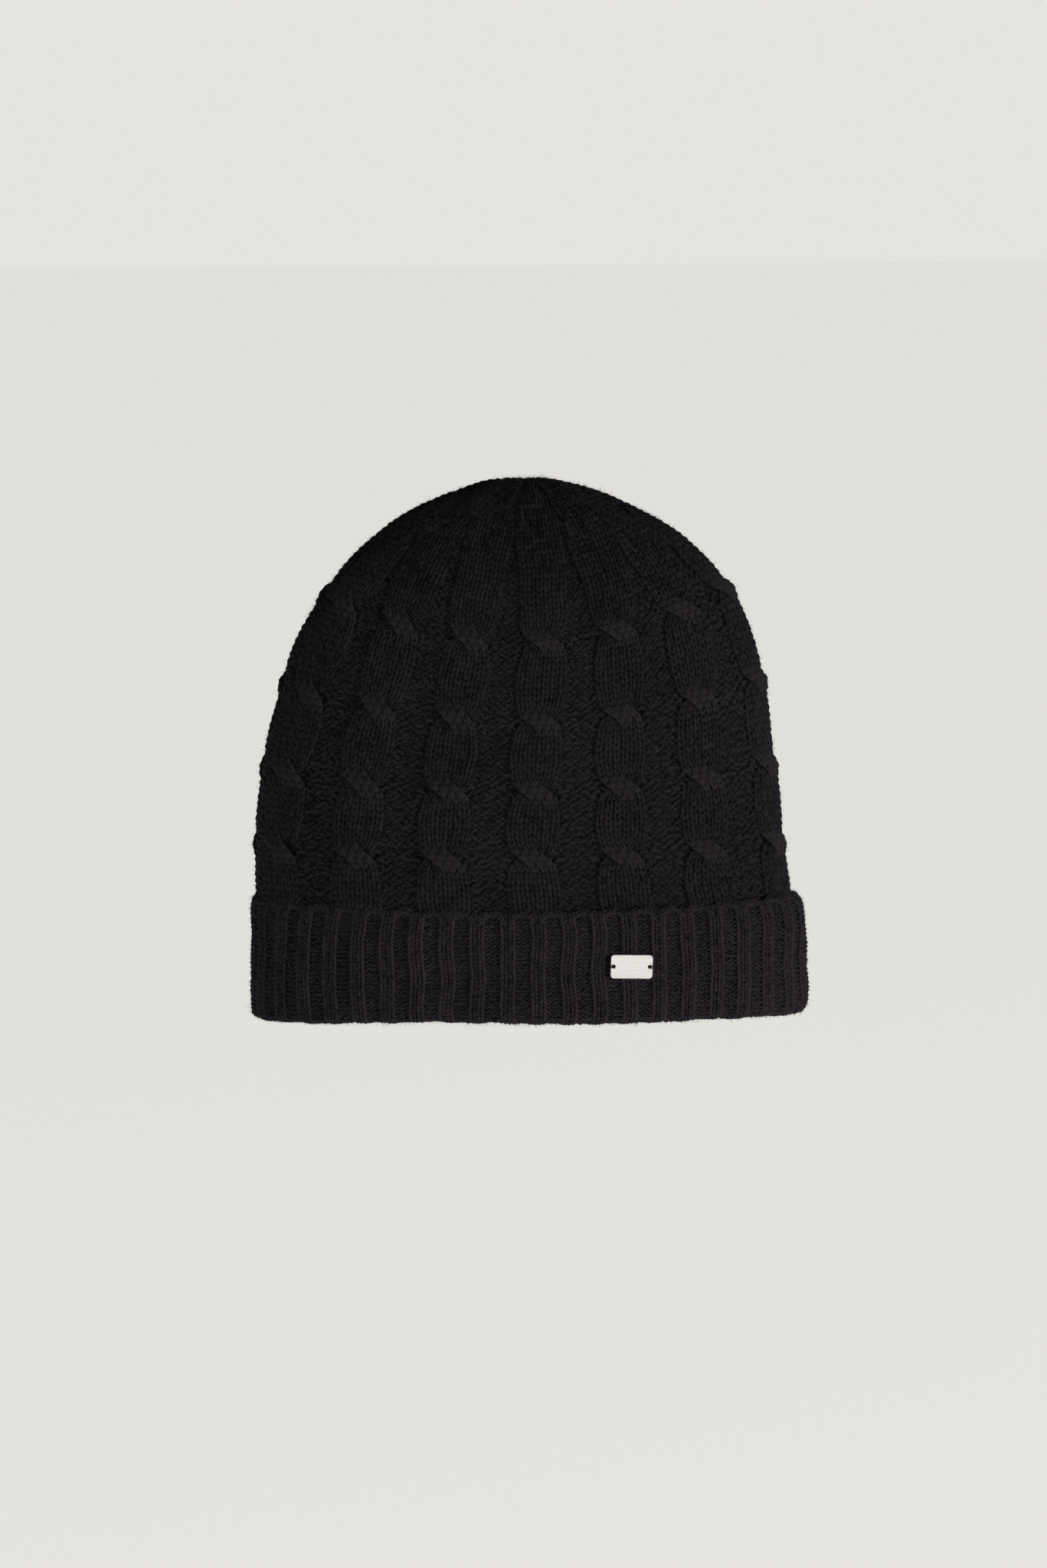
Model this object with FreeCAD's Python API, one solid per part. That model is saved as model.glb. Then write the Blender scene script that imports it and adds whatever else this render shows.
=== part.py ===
import FreeCAD, Part
import math
import os

# Knit beanie standing upright on its turned-up cuff.
# Millimetres, +Z up, the front faces -Y, +X is to the right seen from the front.
# Origin: the centre of the bottom of the cuff, on the surface that the hat stands on.

V = FreeCAD.Vector

# ---------------------------------------------------------------- dimensions
# Cuff: the rib doubled up over the bottom fold.
cuff_half_width = 110.0
cuff_half_depth = 52.5
cuff_height = 46.5
cuff_wall = 4.1
fold_height = 5.0          # from the standing surface to the top of the bottom fold
fold_round = 4.0
cuff_edge_round = 1.6

# Inner layer of the rib, between the bottom fold and the cables.
band_half_width = 103.2
band_half_depth = 46.1
band_wall = 4.0
band_shift = -1.2          # the body hugs the cuff a little more on its left
band_top = 46.0

# Knitted body, outer sections: height, half width, half depth, sideways shift.
body_sections = [
    (46.0, 103.6, 46.4, -1.8),
    (58.0, 103.8, 46.8, -3.0),
    (72.0, 103.7, 46.5, -3.4),
    (88.0, 102.2, 45.4, -3.4),
    (106.0, 100.0, 43.0, -3.2),
    (124.0, 96.8, 39.8, -2.4),
    (140.0, 92.7, 36.2, -1.7),
    (150.0, 89.0, 33.7, -1.2),
    (160.0, 84.2, 31.2, -0.7),
    (170.0, 77.8, 28.9, -0.2),
    (179.5, 69.8, 26.6, 0.1),
    (187.0, 61.8, 24.3, 0.1),
    (193.5, 53.3, 21.8, 0.1),
    (199.0, 43.8, 18.8, 0.1),
    (203.5, 33.4, 15.0, 0.2),
    (207.0, 21.5, 10.3, 0.3),
    (209.2, 10.0, 5.2, 0.4),
    (210.0, 2.4, 1.4, 0.4),
]
knit_wall = 5.0            # cable crest to the inside of the knitting
crown_line = 150.0         # where the cables end and the crown narrows

# Seams: ridges of linking yarn.
seam_width = 3.0
seam_proud = 1.2
seam_sunk = 0.6

# Drawn-up yarn that closes the crown.
closing_ring_radius = 4.2
closing_yarn_radius = 1.1

# Metal tag.
tag_width = 16.7
tag_height = 9.4
tag_thickness = 0.8
tag_corner = 1.4
tag_rim = 0.22
tag_hole_radius = 0.68
tag_hole_offset = 7.17
tag_x = 39.8
tag_z = 24.6
tag_standoff = 1.0         # from the cuff's outer face to the back of the plate

# Thread through the tag's holes.
thread_radius = 0.38
thread_over_face = 0.25
thread_beside_edge = 0.30
thread_sunk = 1.2
thread_bend = 0.5

# Blank ribbon label inside at the back.
label_width = 30.0
label_thickness = 0.9
label_y = 39.1             # the face towards the head
hem_low, hem_high = 56.7, 60.7
flap_low, flap_high = 33.5, 55.5
label_stitch_radius = 0.3
label_stitch_count = 7
label_stitch_pitch = 4.0


# ---------------------------------------------------------------- helpers
def ellipse_wire(a, b, z, cx=0.0):
    e = Part.Ellipse(V(cx, 0, z), a, b)
    return Part.Wire([e.toShape()])


def ellipse_prism(a, b, z0, z1, cx=0.0):
    face = Part.Face(ellipse_wire(a, b, z0, cx))
    return face.extrude(V(0, 0, z1 - z0))


def loft(sections):
    return Part.makeLoft([ellipse_wire(a, b, z, cx) for z, a, b, cx in sections], True, False)


def section_slopes(sections, k):
    """Outward normals of the side and front profiles at one section, as (radial, up)."""
    lo = sections[max(k - 1, 0)]
    hi = sections[min(k + 1, len(sections) - 1)]
    dz = hi[0] - lo[0]
    out = []
    for i in (1, 2):
        dr = hi[i] - lo[i]
        n = math.hypot(dz, dr)
        out.append((dz / n, -dr / n))
    return out


def inner_sections(sections, wall):
    """The inside of the knitting: each section moved in along the profile's normal."""
    out = []
    for k, (z, a, b, cx) in enumerate(sections):
        (ra, ua), (rb, ub) = section_slopes(sections, k)
        up = 0.5 * (ua + ub)
        na, nb = a - wall * ra, b - wall * rb
        nz = z - wall * up
        if na > 3.0 and nb > 1.6 and (not out or nz > out[-1][0] + 0.3):
            out.append((nz, na, nb, cx))
    return out


def export(name, shape):
    shape = shape.removeSplitter() if shape.ShapeType != "Compound" else shape
    if not shape.isValid():
        print("INVALID", name)
    bb = shape.BoundBox
    print(
        "%-20s solids %d  volume %9.1f mm3  x %7.2f %7.2f  y %7.2f %7.2f  z %7.2f %7.2f"
        % (name, len(shape.Solids), shape.Volume, bb.XMin, bb.XMax, bb.YMin, bb.YMax, bb.ZMin, bb.ZMax)
    )
    shape.exportStep("parts/%s.step" % name)


os.makedirs("parts", exist_ok=True)

# ---------------------------------------------------------------- knitted body and crown
outer = loft(body_sections)
inside = inner_sections(body_sections, knit_wall)
first = inside[0]
inside = [(first[0] - 8.0, first[1], first[2], first[3])] + inside
hollow = loft(inside)
shell = outer.cut(hollow)

big = 400.0
below = Part.makeBox(big, big, crown_line, V(-big / 2, -big / 2, 0))
above = Part.makeBox(big, big, 200.0, V(-big / 2, -big / 2, crown_line))
cable_body = shell.common(below)
crown = shell.common(above)
export("cable_body", cable_body.Solids[0])
export("crown", crown.Solids[0])

# ---------------------------------------------------------------- inner layer of the rib
band_in_a = band_half_width - band_wall
band_in_b = band_half_depth - band_wall
band = ellipse_prism(band_half_width, band_half_depth, fold_height, band_top, band_shift)
band = band.cut(ellipse_prism(band_in_a, band_in_b, fold_height - 1, band_top + 1, band_shift))
export("inner_rib_band", band.Solids[0])

# ---------------------------------------------------------------- turned-up cuff with its bottom fold
cuff = ellipse_prism(cuff_half_width, cuff_half_depth, 0.0, cuff_height)
cuff = cuff.cut(ellipse_prism(band_in_a, band_in_b, -1.0, cuff_height + 1, band_shift))
cuff_in_a = cuff_half_width - cuff_wall
cuff_in_b = cuff_half_depth - cuff_wall
cuff = cuff.cut(ellipse_prism(cuff_in_a, cuff_in_b, fold_height, cuff_height + 1))
bottom = [e for e in cuff.Edges if e.BoundBox.ZMax < 0.01]
cuff = cuff.makeFillet(fold_round, bottom)
top = [e for e in cuff.Edges if e.BoundBox.ZMin > cuff_height - 0.01]
cuff = cuff.makeFillet(cuff_edge_round, top)
export("turned_up_cuff", cuff.Solids[0])

# ---------------------------------------------------------------- seams
path = [(fold_height + 1.0, band_in_b), (band_top - 0.5, band_in_b)]
path += [(z, b) for z, a, b, cx in inside[1:] if z > band_top + 1.0]


def offset_profile(points, d):
    """The profile moved along its normal; points are (height, depth), d is outward."""
    out = []
    for k in range(len(points)):
        z0, y0 = points[max(k - 1, 0)]
        z1, y1 = points[min(k + 1, len(points) - 1)]
        n = math.hypot(z1 - z0, y1 - y0)
        out.append((points[k][0] - d * (y1 - y0) / n, points[k][1] + d * (z1 - z0) / n))
    return out


def ridge(points, inward, outward):
    side_a = offset_profile(points, -inward)
    side_b = offset_profile(points, outward)
    ring = side_a + side_b[::-1]
    pts = [V(-seam_width / 2, y, z) for z, y in ring]
    face = Part.Face(Part.makePolygon(pts + [pts[0]]))
    return face.extrude(V(seam_width, 0, 0))


export("back_seam", ridge(path, seam_proud, seam_sunk))
export(
    "cuff_seam",
    ridge([(fold_height + 0.3, cuff_in_b), (cuff_height - 1.8, cuff_in_b)], seam_proud, seam_sunk),
)

# ---------------------------------------------------------------- drawn-up closing yarn inside the apex
closing_z = inside[-1][0] - 0.4
ring = Part.makeTorus(closing_ring_radius, closing_yarn_radius, V(0.4, 0, closing_z), V(0, 0, 1))
export("crown_closing_yarn", ring)

# ---------------------------------------------------------------- metal tag
tag_y = -cuff_half_depth * math.sqrt(1 - (tag_x / cuff_half_width) ** 2)
nx = tag_x / cuff_half_width**2
ny = tag_y / cuff_half_depth**2
n_len = math.hypot(nx, ny)
nx, ny = nx / n_len, ny / n_len
tag_turn = math.degrees(math.asin(nx))


def on_cuff(shape, standoff):
    """Places a shape made about the local origin, its outward side along -Y, on the cuff's face."""
    shape = shape.copy()
    shape.rotate(V(0, 0, 0), V(0, 0, 1), tag_turn)
    shape.translate(V(tag_x + nx * standoff, tag_y + ny * standoff, tag_z))
    return shape


plate = Part.makeBox(
    tag_width, tag_thickness, tag_height, V(-tag_width / 2, -tag_thickness, -tag_height / 2)
)
corners = [
    e
    for e in plate.Edges
    if e.BoundBox.XLength < 1e-6 + 2e-7 and e.BoundBox.ZLength < 1e-6 + 2e-7
]
if len(corners) != 4:
    corners = [e for e in plate.Edges if abs(e.Length - tag_thickness) < 1e-6]
plate = plate.makeFillet(tag_corner, corners)
rim = [e for e in plate.Edges if e.BoundBox.YMax < -tag_thickness + 1e-3]
plate = plate.makeChamfer(tag_rim, rim)
for s in (-1, 1):
    plate = plate.cut(
        Part.makeCylinder(tag_hole_radius, 4.0, V(s * tag_hole_offset, -2.5, 0), V(0, 1, 0))
    )
export("tag_plate", on_cuff(plate, tag_standoff))
pivot = tag_standoff + tag_thickness / 2
print(
    "tag pivot %.4f %.4f %.4f  axis %.5f %.5f 0"
    % (tag_x + nx * pivot, tag_y + ny * pivot, tag_z, -ny, nx)
)


def thread(side):
    """One stitch: out of the knit beside the plate, over its front and back in through the hole."""
    x_in = side * tag_hole_offset
    x_out = side * (tag_width / 2 + thread_beside_edge + thread_radius)
    y_front = -(tag_thickness + thread_over_face + thread_radius)
    y_back = tag_standoff + thread_sunk
    r = thread_bend
    s = 1 if x_out > x_in else -1
    a = V(x_out, y_back, 0)
    b = V(x_out, y_front + r, 0)
    c = V(x_out - s * r, y_front, 0)
    d = V(x_in + s * r, y_front, 0)
    e = V(x_in, y_front + r, 0)
    f = V(x_in, y_back, 0)
    k = r * (1 - math.sqrt(0.5))
    arc1 = Part.Arc(b, V(x_out - s * k, y_front + k, 0), c).toShape()
    arc2 = Part.Arc(d, V(x_in + s * k, y_front + k, 0), e).toShape()
    edges = [
        Part.LineSegment(a, b).toShape(),
        arc1,
        Part.LineSegment(c, d).toShape(),
        arc2,
        Part.LineSegment(e, f).toShape(),
    ]
    wire = Part.Wire(edges)
    profile = Part.Wire([Part.Circle(a, V(0, 1, 0), thread_radius).toShape()])
    return wire.makePipeShell([profile], True, True)


export("tag_stitch_left", on_cuff(thread(-1), tag_standoff))
export("tag_stitch_right", on_cuff(thread(1), tag_standoff))

# ---------------------------------------------------------------- blank label inside at the back
hem = Part.makeBox(
    label_width, label_thickness, hem_high - hem_low, V(-label_width / 2, label_y, hem_low)
)
export("label_hem", hem)
flap = Part.makeBox(
    label_width, label_thickness, flap_high - flap_low, V(-label_width / 2, label_y, flap_low)
)
export("label_flap", flap)
print("label pivot 0 %.3f %.3f" % (label_y + label_thickness / 2, (flap_high + 0.3)))
stitches = []
for k in range(label_stitch_count):
    x = (k - (label_stitch_count - 1) / 2) * label_stitch_pitch
    if abs(x) < seam_width / 2 + 0.4:
        continue
    stitches.append(
        Part.makeCylinder(
            label_stitch_radius, 3.4, V(x, label_y - 0.35, (hem_low + hem_high) / 2), V(0, 1, 0)
        )
    )
export("label_stitches", Part.makeCompound(stitches))
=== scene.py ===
import math

import bpy
import numpy as np
from mathutils import Matrix, Vector


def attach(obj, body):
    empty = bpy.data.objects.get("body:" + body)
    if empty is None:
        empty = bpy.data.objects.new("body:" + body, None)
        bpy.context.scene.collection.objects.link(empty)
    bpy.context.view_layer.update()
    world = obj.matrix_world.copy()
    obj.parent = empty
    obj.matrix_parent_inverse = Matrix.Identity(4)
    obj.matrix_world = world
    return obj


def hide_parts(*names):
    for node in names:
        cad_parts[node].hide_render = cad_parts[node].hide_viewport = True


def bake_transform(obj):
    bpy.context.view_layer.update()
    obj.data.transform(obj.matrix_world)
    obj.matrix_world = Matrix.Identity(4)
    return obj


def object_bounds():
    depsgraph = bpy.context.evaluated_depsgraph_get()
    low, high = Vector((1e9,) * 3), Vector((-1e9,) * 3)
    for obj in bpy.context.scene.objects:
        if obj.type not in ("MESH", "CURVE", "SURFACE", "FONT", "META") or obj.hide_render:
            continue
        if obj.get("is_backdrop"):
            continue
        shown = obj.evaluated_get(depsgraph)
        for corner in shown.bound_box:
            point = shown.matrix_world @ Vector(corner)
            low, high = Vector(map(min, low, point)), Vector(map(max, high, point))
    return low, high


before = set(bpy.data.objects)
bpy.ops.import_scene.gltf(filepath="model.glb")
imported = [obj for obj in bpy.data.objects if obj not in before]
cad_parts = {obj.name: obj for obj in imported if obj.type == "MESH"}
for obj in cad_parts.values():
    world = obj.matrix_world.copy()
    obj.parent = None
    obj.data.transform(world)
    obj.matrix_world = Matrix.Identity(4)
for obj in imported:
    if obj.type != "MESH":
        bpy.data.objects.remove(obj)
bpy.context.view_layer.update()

MM = 0.001
rng = np.random.default_rng(20261)
scene = bpy.context.scene

# ------------------------------------------------------------------ sizes, in millimetres
CUFF_A, CUFF_B, CUFF_H = 110.0, 52.5, 46.5
BAND_A, BAND_B, BAND_X = 103.2, 46.1, -1.2
BAND_WALL = 4.0
BODY = np.array([
    (36.0, 104.2, 45.6, -2.1),
    (46.0, 105.5, 48.0, -2.5),
    (58.0, 105.1, 47.5, -3.4),
    (72.0, 104.4, 46.5, -3.7),
    (88.0, 102.9, 45.4, -3.6),
    (106.0, 100.6, 43.0, -3.2),
    (124.0, 97.2, 39.8, -2.0),
    (140.0, 93.4, 36.2, -1.0),
    (150.0, 89.8, 33.7, -0.4),
    (160.0, 85.0, 31.2, 0.1),
    (170.0, 78.5, 28.9, 0.5),
    (179.5, 70.3, 26.6, 0.6),
    (187.0, 62.1, 24.3, 0.4),
    (193.5, 53.3, 21.8, 0.1),
    (198.7, 43.8, 18.8, 0.3),
    (203.0, 33.4, 15.0, 0.7),
    (206.4, 21.8, 10.3, 0.9),
    (208.6, 10.5, 5.2, 0.5),
    (209.3, 0.0, 0.0, 0.2),
])
COLUMNS = 14
COLUMN_SHIFT = 0.20           # of a column, to the right of the middle of the front
COURSES = 76                  # from the top of the rib to the apex
CROSSINGS = np.array([-3.2, 8.9, 19.7, 31.3, 44.4])
RIBS = 44
RIB_COURSE = 1.74
SINK = 0.75                   # how far under the outer oval the tops of the stitches lie
TAU = 2.25                    # half height of a crossing, in courses


# ------------------------------------------------------------------ small helpers
def smooth01(t):
    t = np.clip(t, 0, 1)
    return t * t * (3 - 2 * t)


def catmull(points, n):
    """A dense smooth line through points (rows), by chord length."""
    p = np.asarray(points, float)
    ext = np.vstack([2 * p[0] - p[1], p, 2 * p[-1] - p[-2]])
    out = []
    for k in range(1, len(ext) - 2):
        p0, p1, p2, p3 = ext[k - 1], ext[k], ext[k + 1], ext[k + 2]
        d0 = np.sqrt(np.linalg.norm(p1 - p0)) + 1e-9
        d1 = np.sqrt(np.linalg.norm(p2 - p1)) + 1e-9
        d2 = np.sqrt(np.linalg.norm(p3 - p2)) + 1e-9
        m1 = (p2 - p1) + d1 * ((p1 - p0) / d0 - (p2 - p0) / (d0 + d1))
        m2 = (p2 - p1) + d1 * ((p3 - p2) / d2 - (p3 - p1) / (d1 + d2))
        t = np.linspace(0, 1, n, endpoint=False)[:, None]
        out.append((2 * t**3 - 3 * t**2 + 1) * p1 + (t**3 - 2 * t**2 + t) * m1
                   + (-2 * t**3 + 3 * t**2) * p2 + (t**3 - t**2) * m2)
    out.append(ext[-2][None, :])
    return np.vstack(out)


class Wobble:
    """Smooth periodic noise of (u in turns, v) made of a few seeded waves."""

    def __init__(self, seed, waves, fu, fv):
        r = np.random.default_rng(seed)
        self.k = np.round(r.uniform(-fu, fu, waves))
        self.l = r.uniform(-fv, fv, waves)
        self.p = r.uniform(0, 2 * np.pi, waves)
        self.a = r.normal(0, 1, waves)
        self.a /= np.sqrt((self.a**2).sum() / 2) + 1e-9

    def __call__(self, u, v):
        s = 0.0
        for k, l, p, a in zip(self.k, self.l, self.p, self.a):
            s = s + a * np.sin(2 * np.pi * (k * u + l * v) + p)
        return s


class Surface:
    """A closed-round sheet sampled on a grid: rows are T, columns are U in turns."""

    def __init__(self, t, pos, flip_pole=False):
        self.t0, self.dt = t[0], t[1] - t[0]
        self.nt, self.nu = pos.shape[:2]
        self.pos = pos
        du = np.roll(pos, -1, 1) - np.roll(pos, 1, 1)
        dv = np.gradient(pos, axis=0)
        self.wu = np.linalg.norm(du, axis=2) * self.nu / 2
        self.ht = np.linalg.norm(dv, axis=2) / self.dt
        n = np.cross(du, dv)
        ln = np.linalg.norm(n, axis=2, keepdims=True)
        n = n / np.maximum(ln, 1e-9)
        if flip_pole:
            n[-1] = (0, 0, 1)
        self.nor = n

    def _at(self, grid, u, t):
        x = (np.asarray(u) % 1.0) * self.nu
        y = np.clip((np.asarray(t) - self.t0) / self.dt, 0, self.nt - 1.001)
        i, j = np.floor(x).astype(int) % self.nu, np.floor(y).astype(int)
        fx, fy = x - np.floor(x), y - j
        i1, j1 = (i + 1) % self.nu, j + 1
        if grid.ndim == 3:
            fx, fy = fx[..., None], fy[..., None]
        return ((grid[j, i] * (1 - fx) + grid[j, i1] * fx) * (1 - fy)
                + (grid[j1, i] * (1 - fx) + grid[j1, i1] * fx) * fy)

    def point(self, u, t, z):
        p = self._at(self.pos, u, t)
        n = self._at(self.nor, u, t)
        n = n / np.maximum(np.linalg.norm(n, axis=-1, keepdims=True), 1e-9)
        return p + n * np.asarray(z)[..., None]

    def width(self, u, t):
        return self._at(self.wu, u, t)

    def height(self, u, t):
        return self._at(self.ht, u, t)


def ellipse_at(a, b, cx, nu):
    """Points at equal arc length round an ellipse, from the back, by the left, to the front."""
    th = np.linspace(0, 2 * np.pi, 4001) + np.pi / 2
    x, y = a * np.cos(th), b * np.sin(th)
    s = np.concatenate([[0], np.cumsum(np.hypot(np.diff(x), np.diff(y)))])
    if s[-1] < 1e-9:
        return np.tile([cx, 0.0], (nu, 1))
    u = np.arange(nu) / nu * s[-1]
    return np.stack([np.interp(u, s, x) + cx, np.interp(u, s, y)], 1)


# ------------------------------------------------------------------ the sheet of the knitted body
def make_body_sheet():
    prof = catmull(BODY, 14)
    above = np.clip(prof[:, 0] - 46.0, 0, None)
    prof[:, 0] += above * 0.020
    nu = 840
    rows = np.empty((len(prof), nu, 3))
    for k, (z, a, b, cx) in enumerate(prof):
        rows[k, :, :2] = ellipse_at(max(a, 0), max(b, 0), cx, nu)
        rows[k, :, 2] = z
    seg = np.linalg.norm(np.diff(rows, axis=0), axis=2)
    length = np.vstack([np.zeros(nu), np.cumsum(seg, axis=0)])
    start = np.array([np.interp(46.0, rows[:, 0, 2], length[:, i]) for i in range(nu)])
    length = length - start
    total = length[-1]
    front = total.min()
    t = np.arange(-4.0, COURSES + 0.001, 0.25)
    pos = np.empty((len(t), nu, 3))
    tt = t / COURSES
    for i in range(nu):
        s = front * tt + (total[i] - front) * np.where(tt > 0, np.abs(tt) ** 1.2, 0)
        for c in range(3):
            pos[:, i, c] = np.interp(s, length[:, i], rows[:, i, c])
    # the columns lean a little to the right on their way up
    lean = np.interp(t, [9.0, 44.0], [-0.0035, 0.0035])
    for k in range(len(t)):
        at = (np.arange(nu) + lean[k] * nu) % nu
        i0 = np.floor(at).astype(int) % nu
        f = (at - np.floor(at))[:, None]
        pos[k] = pos[k][i0] * (1 - f) + pos[k][(i0 + 1) % nu] * f
    pos[-1] = pos[-1].mean(0)
    return Surface(t, pos, flip_pole=True)


body = make_body_sheet()
soft_a = Wobble(11, 9, 4, 0.03)
soft_b = Wobble(12, 12, 16, 0.10)
soft_c = Wobble(13, 9, 9, 0.09)
soft_d = Wobble(14, 12, 22, 0.22)


def body_ease(u, t):
    """Slow unevenness of soft cloth over the whole body, in millimetres."""
    fade = smooth01((COURSES - t) / 10)
    gather = smooth01((t - 60) / 10) * smooth01((COURSES + 1 - t) / 5)
    return (0.55 * soft_a(u, t) + 0.22 * soft_b(u, t)) * fade + (0.42 * soft_c(u, t) + 0.20 * soft_d(u, t)) * gather


COL_U = 0.5 + (np.arange(COLUMNS) - 7 + COLUMN_SHIFT) / COLUMNS


def knit_half(t, pitch):
    """Half the width of the six cable wales, their wale width, and how far it is narrowed."""
    base = np.interp(t, [0, 8, 20, 32, 44, 54, 64, 76],
                     [10.2, 10.2, 10.05, 9.75, 9.3, 9.0, 8.7, 8.4])
    narrow = np.zeros_like(base)
    for c in CROSSINGS:
        narrow = np.maximum(narrow, np.exp(-(np.abs((t - c) / 3.4) ** 2.6)))
    full = base * (1.055 - 0.17 * narrow)
    half = np.minimum(full, pitch / 2 + 0.16)
    return half, full / 3, narrow


def swing(k):
    """How far a strand's middle has moved (in wale widths) and how much its wales spread, k in half heights."""
    k = np.clip(k, -1, 1)
    return 1.5 * np.sin(np.pi * k / 2), 1 + 0.24 * np.cos(np.pi * k / 2)


def contour(t):
    """Outer edge of the cable, as a part of its full half width."""
    e = np.ones_like(t)
    for c in CROSSINGS:
        k = np.abs(t - c) / TAU
        m, sp = swing(k)
        e = np.where(k < 1, (m + 1.5 * sp) / 3, e)
    return np.minimum(e, 1.0)


def cable_profile(xn, t, pitch, half):
    """Height of the cable over the sheet at xn = lateral / half width, without the crossing's lift."""
    edge = np.clip(np.abs(xn), 0, 1.3)
    shut = smooth01((3.6 - (pitch - 2 * half)) / 3.0)
    dome = 0.42 * (1 - edge**2) * (1 - 0.35 * shut) - 0.38 * (1 - 0.75 * shut) * smooth01((edge - 0.62) / 0.55)
    return dome


# ------------------------------------------------------------------ yarn elements
LEG_SIDES, ARC_SIDES, RINGS = 7, 6, 5


def cross_section(sides):
    """Angles round the yarn, closer together on the outer side, which is the one that is seen."""
    if sides == 7:
        return np.radians([-52, -4, 42, 90, 138, 184, 232])
    if sides == 6:
        return np.radians([-50, 5, 60, 120, 175, 230])
    return np.radians(np.arange(sides) * 360.0 / sides + 18)


def ring_faces(count, sides, rings):
    """Faces of one closed element repeated count times: rings of vertices and a pole at each end."""
    per = sides * rings + 2
    quads, tris = [], []
    for j in range(rings - 1):
        for m in range(sides):
            n = (m + 1) % sides
            quads.append((j * sides + m, (j + 1) * sides + m, (j + 1) * sides + n, j * sides + n))
    lo, hi = sides * rings, sides * rings + 1
    for m in range(sides):
        n = (m + 1) % sides
        tris.append((lo, m, n))
        tris.append((hi, (rings - 1) * sides + n, (rings - 1) * sides + m))
    off = (np.arange(count) * per)[:, None, None]
    return (np.array(quads)[None] + off).reshape(-1, 4), (np.array(tris)[None] + off).reshape(-1, 3)


def sweep(line, r_side, r_out, sides):
    """line: (count, rings, 3) in flat millimetres (across, along, out). Returns (count, rings*sides+2, 3)."""
    d = np.gradient(line, axis=1)
    d /= np.maximum(np.linalg.norm(d, axis=2, keepdims=True), 1e-9)
    flat = d.copy()
    flat[..., 2] = 0
    fl = np.maximum(np.linalg.norm(flat, axis=2, keepdims=True), 1e-6)
    flat /= fl
    e1 = np.stack([flat[..., 1], -flat[..., 0], np.zeros_like(flat[..., 0])], -1)
    e2 = np.cross(e1, d)
    ang = cross_section(sides)
    ca, sa = np.cos(ang), np.sin(ang)
    v = (line[:, :, None, :]
         + r_side[:, :, None, None] * ca[None, None, :, None] * e1[:, :, None, :]
         + r_out[:, :, None, None] * sa[None, None, :, None] * e2[:, :, None, :])
    count, rings = line.shape[:2]
    v = v.reshape(count, rings * sides, 3)
    tip0 = line[:, 0] - d[:, 0] * r_side[:, :1] * 0.8
    tip1 = line[:, -1] + d[:, -1] * r_side[:, -1:] * 0.8
    return np.concatenate([v, tip0[:, None], tip1[:, None]], 1)


class Pile:
    """Collects vertices and faces, with a coordinate pair per vertex for the surface map."""

    def __init__(self):
        self.v, self.q, self.t, self.uv, self.tone, self.crest, self.n = [], [], [], [], [], [], 0
        self.elements = []

    def add(self, verts, uv, sides, rings, tone):
        count = len(verts)
        self.elements.append((verts, sides, rings))
        q, t = ring_faces(count, sides, rings)
        self.q.append(q + self.n)
        self.t.append(t + self.n)
        self.v.append(verts.reshape(-1, 3))
        self.uv.append(uv.reshape(-1, 2))
        self.tone.append(np.repeat(tone, verts.shape[1]))
        # crest values: a painted highlight on the outer side of each yarn, fading to painted shade towards its tucked
        # ends and poles
        painted_highlight = np.clip(0.5 + 0.5 * np.sin(cross_section(sides)), 0, 1)
        fade = np.interp(np.linspace(0, 1, rings), [0, 0.25, 0.5, 0.75, 1], [0.35, 0.9, 1, 0.9, 0.35])
        crest = np.concatenate([(fade[:, None] * painted_highlight[None, :]).ravel(), [0.0, 0.0]])
        self.crest.append(np.tile(crest, count))
        self.n += verts.shape[0] * verts.shape[1]

    def add_grid(self, verts, uv, closed_u, tone=0.5, crest=None):
        """verts: (rows, cols, 3)."""
        r, c = verts.shape[:2]
        idx = np.arange(r * c).reshape(r, c)
        if closed_u:
            a, b = idx, np.roll(idx, -1, 1)
        else:
            a, b = idx[:, :-1], idx[:, 1:]
        q = np.stack([a[:-1], b[:-1], b[1:], a[1:]], -1).reshape(-1, 4)
        self.q.append(q + self.n)
        self.v.append(verts.reshape(-1, 3))
        self.uv.append(uv.reshape(-1, 2))
        self.tone.append(np.full(r * c, tone))
        self.crest.append(np.full(r * c, 0.25) if crest is None else crest.ravel())
        self.n += r * c


def build_mesh(name, pile, smooth=True):
    v = np.concatenate(pile.v) * MM
    q = np.concatenate(pile.q) if pile.q else np.zeros((0, 4), int)
    t = np.concatenate(pile.t) if pile.t else np.zeros((0, 3), int)
    uv = np.concatenate(pile.uv)
    tone = np.concatenate(pile.tone)
    me = bpy.data.meshes.new(name)
    me.vertices.add(len(v))
    me.vertices.foreach_set("co", v.astype(np.float32).ravel())
    loops = np.concatenate([q.ravel(), t.ravel()]).astype(np.int32)
    me.loops.add(len(loops))
    me.loops.foreach_set("vertex_index", loops)
    nq, nt = len(q), len(t)
    me.polygons.add(nq + nt)
    start = np.concatenate([np.arange(nq) * 4, nq * 4 + np.arange(nt) * 3]).astype(np.int32)
    total = np.concatenate([np.full(nq, 4), np.full(nt, 3)]).astype(np.int32)
    me.polygons.foreach_set("loop_start", start)
    me.polygons.foreach_set("loop_total", total)
    me.update(calc_edges=True)
    layer = me.uv_layers.new(name="OFBake")
    layer.uv.foreach_set("vector", uv[loops].astype(np.float32).ravel())
    at = me.attributes.new("tone", "FLOAT", "POINT")
    at.data.foreach_set("value", tone.astype(np.float32))
    at = me.attributes.new("crest", "FLOAT", "POINT")
    at.data.foreach_set("value", np.concatenate(pile.crest).astype(np.float32))
    me.polygons.foreach_set("use_smooth", np.full(nq + nt, smooth))
    me.validate()
    ob = bpy.data.objects.new(name, me)
    scene.collection.objects.link(ob)
    return ob


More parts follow.
